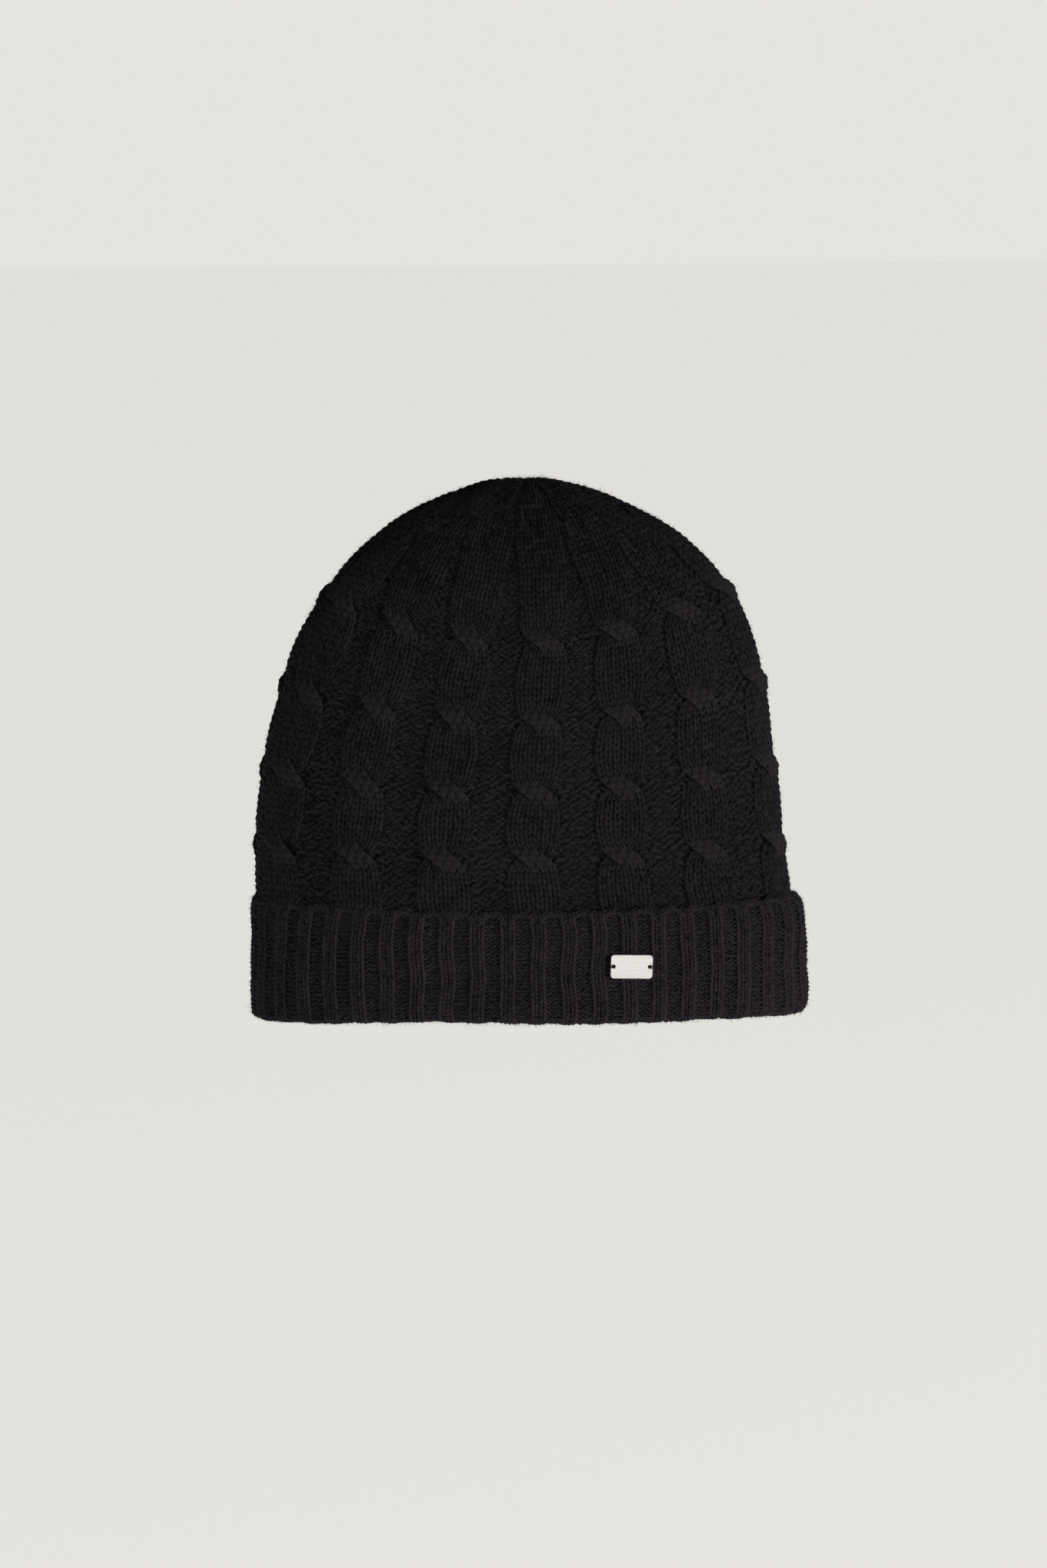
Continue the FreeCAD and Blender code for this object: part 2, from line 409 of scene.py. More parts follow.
# Half of a knit stitch: across and along in wale and course units, out in millimetres.
LEG_X = np.array([0.105, 0.165, 0.240, 0.310, 0.365])
LEG_Y = np.array([-0.66, -0.34, 0.02, 0.38, 0.70])
LEG_Z = np.array([-0.62, -0.06, 0.22, 0.06, -0.62])
LEG_R = np.array([0.115, 0.225, 0.262, 0.232, 0.115])
# A purl bump: the head of a loop, bowed up.
ARC_X = np.array([-0.41, -0.24, 0.0, 0.24, 0.41])
ARC_Y = np.array([-0.38, -0.02, 0.16, -0.02, -0.38])
ARC_Z = np.array([-0.95, -0.08, 0.30, -0.08, -0.95])
ARC_R = np.array([0.16, 0.245, 0.275, 0.245, 0.16])


def knit_body_column(k, pile):
    """All the stitches of one cable column and the purl ground to its right, from the cuff to the apex."""
    u0 = COL_U[k]
    first = -3
    courses = np.arange(first, COURSES)
    wob_x = Wobble(100 + k, 8, 0, 0.16)
    wob_y = Wobble(200 + k, 8, 0, 0.12)
    rk = np.random.default_rng(3000 + k)

    # ---- cable and petal stitches
    o_all = np.arange(6) - 2.5
    cc, oo = np.meshgrid(courses, o_all, indexing="ij")
    cc, oo = cc.ravel().astype(float), oo.ravel()
    pitch_c = body.width(u0, cc) / COLUMNS
    half, sp, narrow = knit_half(cc, pitch_c)
    limit = half - sp * 0.5
    keep = (np.abs(oo) * sp - np.minimum(np.abs(oo) * sp, np.maximum(limit, 0)) < 0.60 * sp)
    keep &= (limit > 0.05) | (np.abs(oo) < 1)
    for c in CROSSINGS:
        hid = np.abs(cc - c) < 0.12
        keep &= ~(hid & np.where(cc > c, oo > 0, oo < 0))
    cc, oo = cc[keep], oo[keep]
    n = len(cc)
    jit = rk.normal(0, 1, (n, 6))
    for side in (-1, 1):
        jl = rk.normal(0, 1, (n, 6))
        ty = cc[:, None] + LEG_Y[None, :] * (1 + 0.03 * jl[:, :1]) + 0.05 * jl[:, 1:2]
        pitch = body.width(u0, ty) / COLUMNS
        half, sp, narrow = knit_half(ty, pitch)
        o2 = np.repeat(oo[:, None], 5, 1)
        x = o2.copy()
        lift = np.zeros_like(x)
        near = np.zeros_like(x)
        spread = np.ones_like(x)
        # a leg belongs to one strand over its whole length
        c2 = np.repeat(cc[:, None], 5, 1)
        for c in CROSSINGS:
            q = (ty - c) / TAU
            own = (np.abs((c2 - c) / TAU) < 1.0) | (np.abs(q) < 1)
            left = o2 < 0
            # above the crossing the left strand is the one in front, leaning back to the right below it
            in_front = np.where(c2 > c, left, ~left)
            m, sprd = swing(q)
            centre = np.where(left, -1.5, 1.5)
            middle = np.where(in_front, -m, m)
            x = np.where(own, middle + (o2 - centre) * sprd, x)
            lift = np.where(own, np.where(in_front, 1.0, -1.0), lift)
            near = np.where(own, np.cos(np.pi * np.clip(q, -1, 1) / 2), near)
            spread = np.where(own, sprd, spread)
        lat = x * sp
        cap = np.maximum(half - 0.5 * sp, 0.0)
        lat = np.where(np.abs(o2) * sp > cap, np.sign(lat) * np.minimum(np.abs(lat), cap), lat)
        # slope of the strand, which turns and narrows the stitch
        dlat = np.gradient(lat, axis=1)
        hgt = body.height(u0, ty)
        dalong = np.gradient(ty, axis=1) * hgt
        ln = np.hypot(dlat, dalong)
        ca = np.clip(dalong / ln, 0.2, 1)
        sa = dlat / ln
        squeeze = np.minimum(ca * spread, 1.08)
        off = side * LEG_X[None, :] * sp * squeeze * (1 + 0.03 * jl[:, 2:3])
        X = lat + off * ca + 0.12 * wob_x(0, ty) + 0.07 * jit[:, 0:1]
        Y = (ty - cc[:, None]) * hgt - off * sa
        xn = lat / np.maximum(half, 0.5)
        z = cable_profile(xn + side * 0.06, ty, pitch, half)
        z = z + LEG_Z[None, :] + 0.05 * jl[:, 3:4]
        z = z + np.where(lift > 0, 1.5, 0) * near**1.2 - np.where(lift < 0, 0.50, 0) * near
        r = LEG_R[None, :] * sp * (0.55 + 0.45 * squeeze) * (1 + 0.045 * jl[:, 4:5])
        r = r * (1 + 0.12 * np.where(lift > 0, near, 0))
        rs = r * 0.98
        ro = r * 1.02
        line = np.stack([X, Y, z], -1)
        v = sweep(line, rs, ro, LEG_SIDES)
        wu = body.width(u0, cc)[:, None]
        ht = body.height(u0, cc)[:, None]
        U = u0 + v[..., 0] / np.repeat(np.concatenate(
            [np.repeat(body.width(u0, ty), LEG_SIDES, 1), body.width(u0, ty[:, :1]), body.width(u0, ty[:, -1:])], 1)[:, :, None], 1, 2)[..., 0]
        T = cc[:, None] + v[..., 1] / ht
        T = np.minimum(T, COURSES - 0.02)
        Z = v[..., 2] - SINK + body_ease(U, T)
        P = body.point(U, T, Z)
        uv = np.stack([U - COL_U[0] + 0.5 / COLUMNS, T / COURSES], -1)
        # random tone, with painted shade darkening towards the crown and a painted highlight on the front strand at
        # each crossing
        tone = rk.uniform(0, 1, n) - 0.66 * smooth01((cc - 43) / 18) + 1.05 * np.where(lift > 0, near**1.5, 0).max(1)
        pile.add(P, uv, LEG_SIDES, RINGS, tone)

    # ---- purl ground between this column and the next
    u1 = u0 + 1.0 / COLUMNS
    for c in courses:
        tc = float(c)
        pitch = float(body.width(u0 + 0.5 / COLUMNS, tc)) / COLUMNS
        half, sp, narrow = knit_half(np.array([tc]), np.array([pitch]))
        full_gap = pitch - 2 * float(half[0])
        if full_gap < 1.5:
            continue
        edge = float(half[0] * contour(np.array([tc]))[0]) - 0.25
        gap = pitch - 2 * edge
        wales = 4 if full_gap > 9.3 else 3 if full_gap > 6.6 else 2 if full_gap > 4.2 else 1
        PURL.append((k, tc, gap, wales, edge, pitch))


PURL = []


def purl_arcs(rows, pile, seed):
    """Two staggered rows of bumps to each course: the heads of the loops and the sinkers between them."""
    rk = np.random.default_rng(seed)
    U0, TC, X0, WS, DOWN, EDGE = [], [], [], [], [], []
    for k, tc, gap, wales, half, pitch in rows:
        ws = gap / wales
        for j in range(wales):
            x = half + (j + 0.5) * ws
            U0.append(COL_U[k]); TC.append(tc); X0.append(x); WS.append(ws); DOWN.append(0)
            EDGE.append(min(j + 0.5, wales - j - 0.5) / max(wales, 1))
        for j in range(wales + 1):
            x = half + j * ws
            U0.append(COL_U[k]); TC.append(tc); X0.append(x); WS.append(ws); DOWN.append(1)
            EDGE.append(min(j, wales - j) / max(wales, 1))
    U0, TC, X0, WS, DOWN, EDGE = map(np.array, (U0, TC, X0, WS, DOWN, EDGE))
    n = len(U0)
    if not n:
        return
    j = rk.normal(0, 1, (n, 6))
    ht = body.height(U0, TC)
    sgn = np.where(DOWN == 1, -1.0, 1.0)[:, None]
    yoff = np.where(DOWN == 1, -0.27, 0.23)[:, None]
    wsc = np.minimum(WS, 3.6)
    X = X0[:, None] + ARC_X[None, :] * WS[:, None] * 1.04 + 0.26 * j[:, 0:1]
    tilt = 0.40 * j[:, 4:5] * ARC_X[None, :]
    Y = (ARC_Y[None, :] * sgn * (1 + 0.12 * j[:, 5:6]) + tilt + yoff + 0.11 * j[:, 1:2]) * ht[:, None]
    base = -0.98 - 0.24 * smooth01(EDGE * 2.2)
    # the ground sits nearer the knit's level at the edges of its gap and lower towards its middle
    Z = base[:, None] + ARC_Z[None, :] * 1.10 + 0.18 * j[:, 2:3]
    r = ARC_R[None, :] * np.minimum(ht, 2.7)[:, None] * 1.08 * (1 + 0.09 * j[:, 3:4])
    line = np.stack([X, Y, Z], -1)
    # the section turns with the arc: across is along the course here
    d = np.gradient(line, axis=1)
    d /= np.maximum(np.linalg.norm(d, axis=2, keepdims=True), 1e-9)
    v = sweep(line, r, r * 1.05, ARC_SIDES)
    wu = body.width(U0, TC)[:, None]
    U = U0[:, None] + v[..., 0] / wu
    T = np.minimum(TC[:, None] + v[..., 1] / ht[:, None], COURSES - 0.02)
    P = body.point(U, T, v[..., 2] - SINK + body_ease(U, T))
    uv = np.stack([U - COL_U[0] + 0.5 / COLUMNS, T / COURSES], -1)
    # random tone, with painted shade darkening towards the crown
    pile.add(P, uv, ARC_SIDES, RINGS, rk.uniform(0.15, 1.15, n) - 0.66 * smooth01((TC - 43) / 18))


def body_backing(pile):
    """The closed sheet under the stitches: its outer side fills between them, its inner side faces the head."""
    t = np.concatenate([np.arange(-3.5, 70, 0.5), np.linspace(70, COURSES - 0.02, 10)])
    nu = 14 * 40
    u = np.arange(nu) / nu + COL_U[0] - 0.5 / COLUMNS
    U, T = np.meshgrid(u, t)
    col = (U - (COL_U[0] - 0.5 / COLUMNS)) * COLUMNS
    x = (col - np.floor(col) - 0.5)
    pitch = body.width(U, T) / COLUMNS
    half, sp, narrow = knit_half(T, pitch)
    lat = np.abs(x) * pitch
    under = smooth01((half * contour(T) + 0.4 - lat) / 1.6)
    shut = smooth01((3.2 - (pitch - 2 * half)) / 2.4)
    under = np.maximum(under, 1.05 * shut)
    depth = -2.05 + under * 0.80
    P = body.point(U, T, depth + body_ease(U, T))
    return U, T, x, pitch, half, lat, under, P


def inner_side(U, T, x, pitch, half, lat, under):
    """The inside of the knitting: purl bumps behind the cables, smooth wales behind the ground."""
    ridge = 0.30 * np.cos(2 * np.pi * T) * np.cos(2 * np.pi * lat / 3.1)
    groove = 0.35 * np.cos(2 * np.pi * (lat - half) / 2.9) * (1 - under)
    depth = -4.3 + 0.5 * under + ridge * under + groove
    fade = smooth01((COURSES - T) / 5)
    return depth * fade + (-3.6) * (1 - fade)


# ------------------------------------------------------------------ materials
def new_material(name):
    m = bpy.data.materials.new(name)
    m.use_nodes = True
    nt = m.node_tree
    nt.nodes.clear()
    out = nt.nodes.new("ShaderNodeOutputMaterial")
    b = nt.nodes.new("ShaderNodeBsdfPrincipled")
    nt.links.new(b.outputs["BSDF"], out.inputs["Surface"])
    return m, nt, b


def wool(name, dark, light, sheen, tint, rough=0.92, bump=0.4):
    """Dark wool: a painted highlight on the crests of the yarn and painted shade at its tucked ends, so the hollows
    between stitches stay deep; the tone values add random tone and painted light.
    """
    m, nt, b = new_material(name)

    def node(kind, **values):
        n = nt.nodes.new(kind)
        for key, val in values.items():
            n.inputs[key].default_value = val
        return n

    def maths(op, a, c, d=None):
        n = nt.nodes.new("ShaderNodeMath")
        n.operation = op
        for i, v in enumerate((a, c, d)):
            if v is None:
                continue
            if isinstance(v, (int, float)):
                n.inputs[i].default_value = v
            else:
                nt.links.new(v, n.inputs[i])
        return n.outputs[0]

    b.inputs["Roughness"].default_value = rough
    b.inputs["Specular IOR Level"].default_value = 0.10
    b.inputs["Sheen Weight"].default_value = sheen
    b.inputs["Sheen Roughness"].default_value = 0.34
    b.inputs["Sheen Tint"].default_value = (*tint, 1)
    tc = nt.nodes.new("ShaderNodeTexCoord")
    fine = node("ShaderNodeTexNoise", Scale=1500.0, Detail=3.0, Roughness=0.7)
    patch = node("ShaderNodeTexNoise", Scale=30.0, Detail=3.0, Roughness=0.55)
    fleck = node("ShaderNodeTexNoise", Scale=520.0, Detail=2.0, Roughness=0.6)
    for n in (fine, patch, fleck):
        nt.links.new(tc.outputs["Object"], n.inputs["Vector"])
    tone = nt.nodes.new("ShaderNodeAttribute")
    tone.attribute_name = "tone"
    crest = nt.nodes.new("ShaderNodeAttribute")
    crest.attribute_name = "crest"
    # painted highlight: the crest values lighten the base colour
    painted_highlight = maths("POWER", crest.outputs["Fac"], 1.5)
    v = maths("MULTIPLY", painted_highlight, 0.56)
    v = maths("MULTIPLY_ADD", tone.outputs["Fac"], 0.44, v)
    f = maths("SUBTRACT", fine.outputs["Fac"], 0.5)
    v = maths("MULTIPLY_ADD", f, 1.25, v)
    f = maths("SUBTRACT", fleck.outputs["Fac"], 0.5)
    v = maths("MULTIPLY_ADD", f, 1.0, v)
    f = maths("SUBTRACT", patch.outputs["Fac"], 0.5)
    v = maths("MULTIPLY_ADD", f, 0.60, v)
    ramp = nt.nodes.new("ShaderNodeValToRGB")
    ramp.color_ramp.elements[0].position = 0.05
    ramp.color_ramp.elements[0].color = (*dark, 1)
    ramp.color_ramp.elements[1].position = 1.0
    ramp.color_ramp.elements[1].color = (*light, 1)
    nt.links.new(v, ramp.inputs["Fac"])
    nt.links.new(ramp.outputs["Color"], b.inputs["Base Color"])
    fib = node("ShaderNodeTexNoise", Scale=3300.0, Detail=2.0)
    nt.links.new(tc.outputs["Object"], fib.inputs["Vector"])
    bp = nt.nodes.new("ShaderNodeBump")
    bp.inputs["Strength"].default_value = bump
    bp.inputs["Distance"].default_value = 0.0003
    nt.links.new(fib.outputs["Fac"], bp.inputs["Height"])
    nt.links.new(bp.outputs["Normal"], b.inputs["Normal"])
    return m


# The cuff's rib copy of the same black yarn is painted lighter than the body's copy: painted light on the cuff,
# painted shade on the body.
WOOL = wool("wool_black", (0.0010, 0.0009, 0.0011), (0.0172, 0.0145, 0.0175), 0.09, (0.45, 0.41, 0.44))
WOOL_RIB_PAINTED_LIGHTER = wool("wool_black_rib_painted_lighter", (0.0022, 0.0019, 0.0023), (0.0232, 0.0195, 0.0234), 0.05, (0.45, 0.41, 0.44))
WOOL_UNDER = wool("wool_under", (0.0040, 0.0034, 0.0041), (0.0120, 0.0102, 0.0123), 0.05, (0.4, 0.38, 0.4))


# ------------------------------------------------------------------ pieces
def finish_piece(ob, body_name, nodes, mat):
    ob.data.materials.append(mat)
    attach(ob, body_name)
    if nodes:
        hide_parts(*nodes)
    return ob


HAT = "hat"
pair = 0
BODY_PILES = []
for k in range(0, COLUMNS, 2):
    pile = Pile()
    PURL.clear()
    knit_body_column(k, pile)
    knit_body_column(k + 1, pile)
    purl_arcs(list(PURL), pile, 5000 + k)
    pair += 1
    # each piece's own map fills its square
    uv = np.concatenate(pile.uv)
    lo, hi = uv.min(0), uv.max(0)
    pile.uv = [(x - lo) / (hi - lo) * 0.98 + 0.01 for x in pile.uv]
    BODY_PILES.append(pile)
    ob = build_mesh("cable_knit_%02d" % pair, pile)
    finish_piece(ob, HAT, ["cable_body", "crown"], WOOL)

pile = Pile()
U, T, x, pitch, half, lat, under, P = body_backing(pile)
rows = P
inner = body.point(U, T, inner_side(U, T, x, pitch, half, lat, under) + body_ease(U, T))
ring = np.concatenate([inner[::-1], rows], 0)
uvs = np.stack([np.concatenate([U[::-1], U]) - U.min(),
                np.concatenate([0.5 - 0.5 * T[::-1] / (COURSES + 4), 0.5 + 0.5 * T / (COURSES + 4)])], -1)
uvs = np.clip(uvs, 0.001, 0.999)
pile.add_grid(ring, uvs, True)
ob = build_mesh("knit_lining", pile)
finish_piece(ob, HAT, ["cable_body"], WOOL_UNDER)


# ------------------------------------------------------------------ the rib: cuff, bottom fold and inner band
def make_rib_sheet():
    """T counts courses from the cuff's top edge down the outside, round the fold and up the inside."""
    fold = 5.0
    prof = []
    # offset from the outer oval (inwards) and height
    outer_run = CUFF_H - fold
    for z in np.linspace(CUFF_H, fold, 60):
        prof.append((0.0, z))
    wall = (CUFF_A - (BAND_A - BAND_WALL))
    rad = wall / 2
    for a in np.linspace(0, np.pi, 40)[1:]:
        ca = np.cos(a)
        prof.append((rad - rad * np.sign(ca) * abs(ca) ** 0.62, fold - fold * abs(np.sin(a)) ** 0.62))
    for z in np.linspace(fold, 47.0, 60)[1:]:
        prof.append((wall, z))
    prof = np.array(prof)
    seg = np.hypot(*np.diff(prof, axis=0).T)
    s = np.concatenate([[0], np.cumsum(seg)])
    t = np.arange(0, s[-1] / RIB_COURSE, 0.25)
    off = np.interp(t * RIB_COURSE, s, prof[:, 0])
    z = np.interp(t * RIB_COURSE, s, prof[:, 1])
    nu = 880
    pos = np.empty((len(t), nu, 3))
    inset = 1.1
    lean = np.exp(-np.clip(CUFF_H - z, 0, None) / 5.0) * (t < t[-1] / 2)
    for k in range(len(t)):
        f = off[k] / wall
        a = CUFF_A - off[k] - 1.7 * lean[k]
        b = CUFF_B - off[k] * (CUFF_B - (BAND_B - BAND_WALL)) / wall - 2.5 * lean[k]
        pos[k, :, :2] = ellipse_at(a, b, BAND_X * f, nu)
        tuck = math.exp(-max(CUFF_H - z[k], 0) / 2.6) * (t[k] < t[-1] / 2)
        pos[k, :, 0] -= 3.4 * tuck * smooth01((pos[k, :, 0] / CUFF_A - 0.72) / 0.28)
        pos[k, :, 2] = z[k]
    # the cloth isn't cut level: its edge stands a little higher at the right
    x = pos[..., 0] / CUFF_A
    rise = 1.5 + 0.25 * smooth01(x) - 2.15 * smooth01(1.2 * (1 - np.abs(x))) + 0.15 * np.sin(7.0 * x)
    up = np.clip((pos[..., 2] - 5) / (CUFF_H - 5), 0, 1)
    pos[..., 2] += rise * up + (0.25 + 2.55 * smooth01(1.25 * (1 - np.abs(x))) + 1.02 * smooth01((x - 0.32) / 0.6)) * (1 - up)
    return Surface(t, pos, False), s[-1] / RIB_COURSE, outer_run / RIB_COURSE, (outer_run + np.pi * rad) / RIB_COURSE


rib, rib_total, t_fold0, t_fold1 = make_rib_sheet()
# the sheet runs downwards on the outside, so its cross product points inwards there
rib.nor = -rib.nor
rib_soft = Wobble(21, 10, 5, 0.04)
rib_soft2 = Wobble(22, 12, 26, 0.12)
RIB_U0 = 0.5 + 0.31 / RIBS


def rib_ease(u, t):
    return 0.28 * rib_soft(u, t) + 0.20 * rib_soft2(u, t)


def rib_widths(width):
    """Knit and purl wale widths of one repeat."""
    return width * 0.262, width * 0.238


TAG_U, TAG_T, TAG_PERIM = None, None, None


def rib_point(u0, xmm, ymm, zmm, tc, width, ht):
    U = u0 + xmm / width
    T = np.maximum(tc - ymm / ht, 0.02)
    # the knit is pressed in a little under the tag
    q = ((U - TAG_U) * TAG_PERIM / 10.6) ** 4 + ((T - TAG_T) * RIB_COURSE / 6.9) ** 4
    press = 0.85 * np.exp(-q) * (T < t_fold0 + 2)
    P = rib.point(U, T, zmm - 0.55 - press + rib_ease(U, T) * (1 - press))
    P[..., 2] = np.where(P[..., 2] < 0.5, 0.02 + 0.48 * np.exp(np.minimum(P[..., 2] - 0.5, 0) * 2), P[..., 2])
    return U, T, P


def rib_piece(r0, r1, c0, c1, seed, pile, fine=True):
    """Stitches of the repeats r0..r1 and the courses c0..c1."""
    rk = np.random.default_rng(seed)
    reps = np.arange(r0, r1)
    cour = np.arange(c0, c1)
    R, C, J = [a.ravel() for a in np.meshgrid(reps, cour, [0, 1], indexing="ij")]
    u0 = RIB_U0 + (R - RIBS / 2) / RIBS
    tc = C + 0.5
    perim = rib.width(u0, tc)
    w = perim / RIBS
    kw, pw = rib_widths(w)
    ht = rib.height(u0, tc)
    sway = 0.22 * Wobble(77, 10, 8, 0.09)(u0, tc)
    n = len(R)
    sides = LEG_SIDES if fine else 5
    for side in (-1, 1):
        jl = rk.normal(0, 1, (n, 6))
        x0 = (J - 0.5) * kw + sway
        X = x0[:, None] + side * LEG_X[None, :] * kw[:, None] * (1 + 0.03 * jl[:, 2:3]) + 0.05 * jl[:, 0:1]
        Y = -(LEG_Y[None, :] * (1 + 0.03 * jl[:, 1:2]) + 0.05 * jl[:, 5:6]) * ht[:, None]
        xn = (X - sway[:, None]) / kw[:, None]
        Z = 0.16 - 0.36 * np.abs(xn)**2 * 0.9 + LEG_Z[None, :] * 0.85 + 0.05 * jl[:, 3:4]
        r = LEG_R[None, :] * np.minimum(kw, 3.2)[:, None] * (1 + 0.045 * jl[:, 4:5])
        line = np.stack([X, Y, Z], -1)
        v = sweep(line, r * 0.95, r * 1.0, sides)
        U, T, P = rib_point(u0[:, None], v[..., 0], v[..., 1], v[..., 2], tc[:, None], perim[:, None], ht[:, None])
        uv = np.stack([U, T / rib_total], -1)
        # the legs at the outer edges of each pair of knit wales are painted lighter and the inner legs darker:
        # painted highlight and painted shade across the rib
        outer = np.where(J == 0, side < 0, side > 0)
        pile.add(P, uv, sides, RINGS, rk.uniform(0, 1, n) + np.where(outer, 0.55, -0.12))
    # the purl channel to the right of the two knit wales
    R, C, J = [a.ravel() for a in np.meshgrid(reps, cour, np.arange(5), indexing="ij")]
    u0 = RIB_U0 + (R - RIBS / 2) / RIBS
    tc = C + 0.5
    perim = rib.width(u0, tc)
    w = perim / RIBS
    kw, pw = rib_widths(w)
    ht = rib.height(u0, tc)
    sway = 0.22 * Wobble(77, 10, 8, 0.09)(u0, tc)
    n = len(R)
    j = rk.normal(0, 1, (n, 6))
    down = J >= 2
    cx = np.where(down, (J - 2) * pw, (J + 0.5) * pw) + kw + sway
    sgn = np.where(down, -1.0, 1.0)[:, None]
    yoff = -np.where(down, -0.27, 0.23)[:, None]
    X = cx[:, None] + ARC_X[None, :] * pw[:, None] * 1.14 + 0.13 * j[:, 0:1]
    tilt = 0.28 * j[:, 4:5] * ARC_X[None, :]
    Y = (-ARC_Y[None, :] * sgn * (1 + 0.12 * j[:, 5:6]) + tilt + yoff + 0.05 * j[:, 1:2]) * ht[:, None]
    mid = 1 - np.abs(cx - sway - kw - pw) / pw
    at_fold = np.exp(-((tc - (t_fold0 + t_fold1) / 2) / 5.5) ** 2)
    Z = ((-0.82 - 0.28 * mid) * (1 - 0.9 * at_fold))[:, None] + ARC_Z[None, :] * 1.1 + 0.13 * j[:, 2:3]
    r = ARC_R[None, :] * np.minimum(ht, 2.2)[:, None] * 1.1 * (1 + 0.06 * j[:, 3:4])
    line = np.stack([X, Y, Z], -1)
    sides = ARC_SIDES if fine else 5
    v = sweep(line, r, r * 1.05, sides)
    U, T, P = rib_point(u0[:, None], v[..., 0], v[..., 1], v[..., 2], tc[:, None], perim[:, None], ht[:, None])
    uv = np.stack([U, T / rib_total], -1)
    pile.add(P, uv, sides, RINGS, rk.uniform(0.15, 1.15, n))


def rib_edge(r0, r1, seed, pile):
    """The first edge of the knitting: slanted loops laid side by side round the top of the cuff."""
    rk = np.random.default_rng(seed)
    per = 5
    R, J = [a.ravel() for a in np.meshgrid(np.arange(r0, r1), np.arange(per), indexing="ij")]
    u0 = RIB_U0 + (R - RIBS / 2) / RIBS
    perim = rib.width(u0, 0.5)
    w = perim / RIBS
    n = len(R)
    for row, (zc, yc, slant) in enumerate(((-0.35, 0.32, 0.55), (-2.35, 0.40, -0.55))):
        j = rk.normal(0, 1, (n, 5))
        x0 = (J + 0.5) / per * w - 0.26 * w
        step = w / per
        tt = np.array([-0.62, -0.32, 0.0, 0.32, 0.62])
        X = x0[:, None] + tt[None, :] * step[:, None] + 0.06 * j[:, 0:1]
        phase = (x0 / w - 0.0)
        dip = -0.55 * smooth01(1 - np.abs((phase - 0.5) * 2) / 0.62)
        swell = -0.45 * np.cos(2 * np.pi * phase)
        Y = yc + swell[:, None] + slant * tt[None, :] * 1.1 + 0.22 * j[:, 1:2]
        Z = zc + (dip if row == 0 else 0 * dip)[:, None] + np.array([-0.35, 0.05, 0.2, 0.05, -0.35])[None, :] * (1 if row == 0 else -0.4)
        Z = Z + 0.05 * j[:, 2:3]
        r = np.array([0.32, 0.50, 0.55, 0.50, 0.32])[None, :] * (1 + 0.10 * j[:, 3:4])
        line = np.stack([X, Y + 0 * X, Z + 0 * X], -1)
        v = sweep(line, r, r * 1.0, LEG_SIDES)
        U = u0[:, None] + v[..., 0] / perim[:, None]
        zz = v[..., 2] - 0.55 + rib_ease(U, 0 * U)
        base = rib.point(U, 0 * U + 0.02, zz)
        base[..., 2] += v[..., 1]
        uv = np.stack([U, 0 * U], -1)
        pile.add(base, uv, LEG_SIDES, RINGS, rk.uniform(0.3, 1, n))


def rib_arches(r0, r1, seed, pile):
    """Over each purl channel the two wales beside it lean together into an arch under the edge."""
    rk = np.random.default_rng(seed)
    steps = 11
    R, J = [a.ravel() for a in np.meshgrid(np.arange(r0, r1), np.arange(steps), indexing="ij")]
    u0 = RIB_U0 + (R - RIBS / 2) / RIBS
    perim = rib.width(u0, 1.5)
    w = perim / RIBS
    kw, pw = rib_widths(w)
    sway = 0.22 * Wobble(77, 10, 8, 0.09)(u0, 1.5)
    n = len(R)
    a = pw + 0.42 * kw
    for side in (-1, 1):
        j = rk.normal(0, 1, (n, 5))
        ph = (J[:, None] + 0.5 + np.array([-0.66, -0.34, 0.0, 0.34, 0.66])[None, :]) / steps * np.pi
        cs, sn = np.cos(ph), np.clip(np.sin(ph), 0, 1)
        offs = side * np.array([0.16, 0.26, 0.38, 0.48, 0.56])[None, :]
        grow = 1 + offs / a[:, None] * 1.0
        X = (kw + pw + sway)[:, None] - a[:, None] * cs * grow + 0.07 * j[:, 0:1]
        Y = -4.6 + 4.1 * sn ** 0.72 + offs * sn + 0.10 * j[:, 1:2]
        Z = 0.42 + np.array([-0.50, 0.02, 0.20, 0.02, -0.50])[None, :] - 0.35 * sn + 0.10 * j[:, 2:3]
        r = np.array([0.22, 0.40, 0.46, 0.40, 0.22])[None, :] * (1 + 0.08 * j[:, 3:4])
        line = np.stack([X, Y, Z], -1)
        v = sweep(line, r, r, LEG_SIDES)
        U = u0[:, None] + v[..., 0] / perim[:, None]
        T = np.clip(-v[..., 1] / RIB_COURSE, 0.02, None)
        P = rib.point(U, T, v[..., 2] - 0.55 + rib_ease(U, T))
        uv = np.stack([U, T / rib_total], -1)
        pile.add(P, uv, LEG_SIDES, RINGS, rk.uniform(0.8, 1.7, n))


def locate_tag():
    """The tag's place on the rib sheet."""
    best = None
    p = rib.pos
    d = (p[..., 0] - TAG_X) ** 2 + (p[..., 2] - TAG_Z) ** 2 + np.where(p[..., 1] > 0, 1e6, 0)
    d[int((t_fold0 + 3) / rib.dt):] = 1e9
    j, i = np.unravel_index(np.argmin(d), d.shape)
    return i / rib.nu, rib.t0 + j * rib.dt, float(rib.wu[j, i])


TAG_X, TAG_Z = 39.8, 24.6
TAG_U, TAG_T, TAG_PERIM = locate_tag()


def normalise_uv(pile):
    uv = np.concatenate(pile.uv)
    lo, hi = uv.min(0), uv.max(0)
    pile.uv = [(x - lo) / (hi - lo) * 0.98 + 0.01 for x in pile.uv]


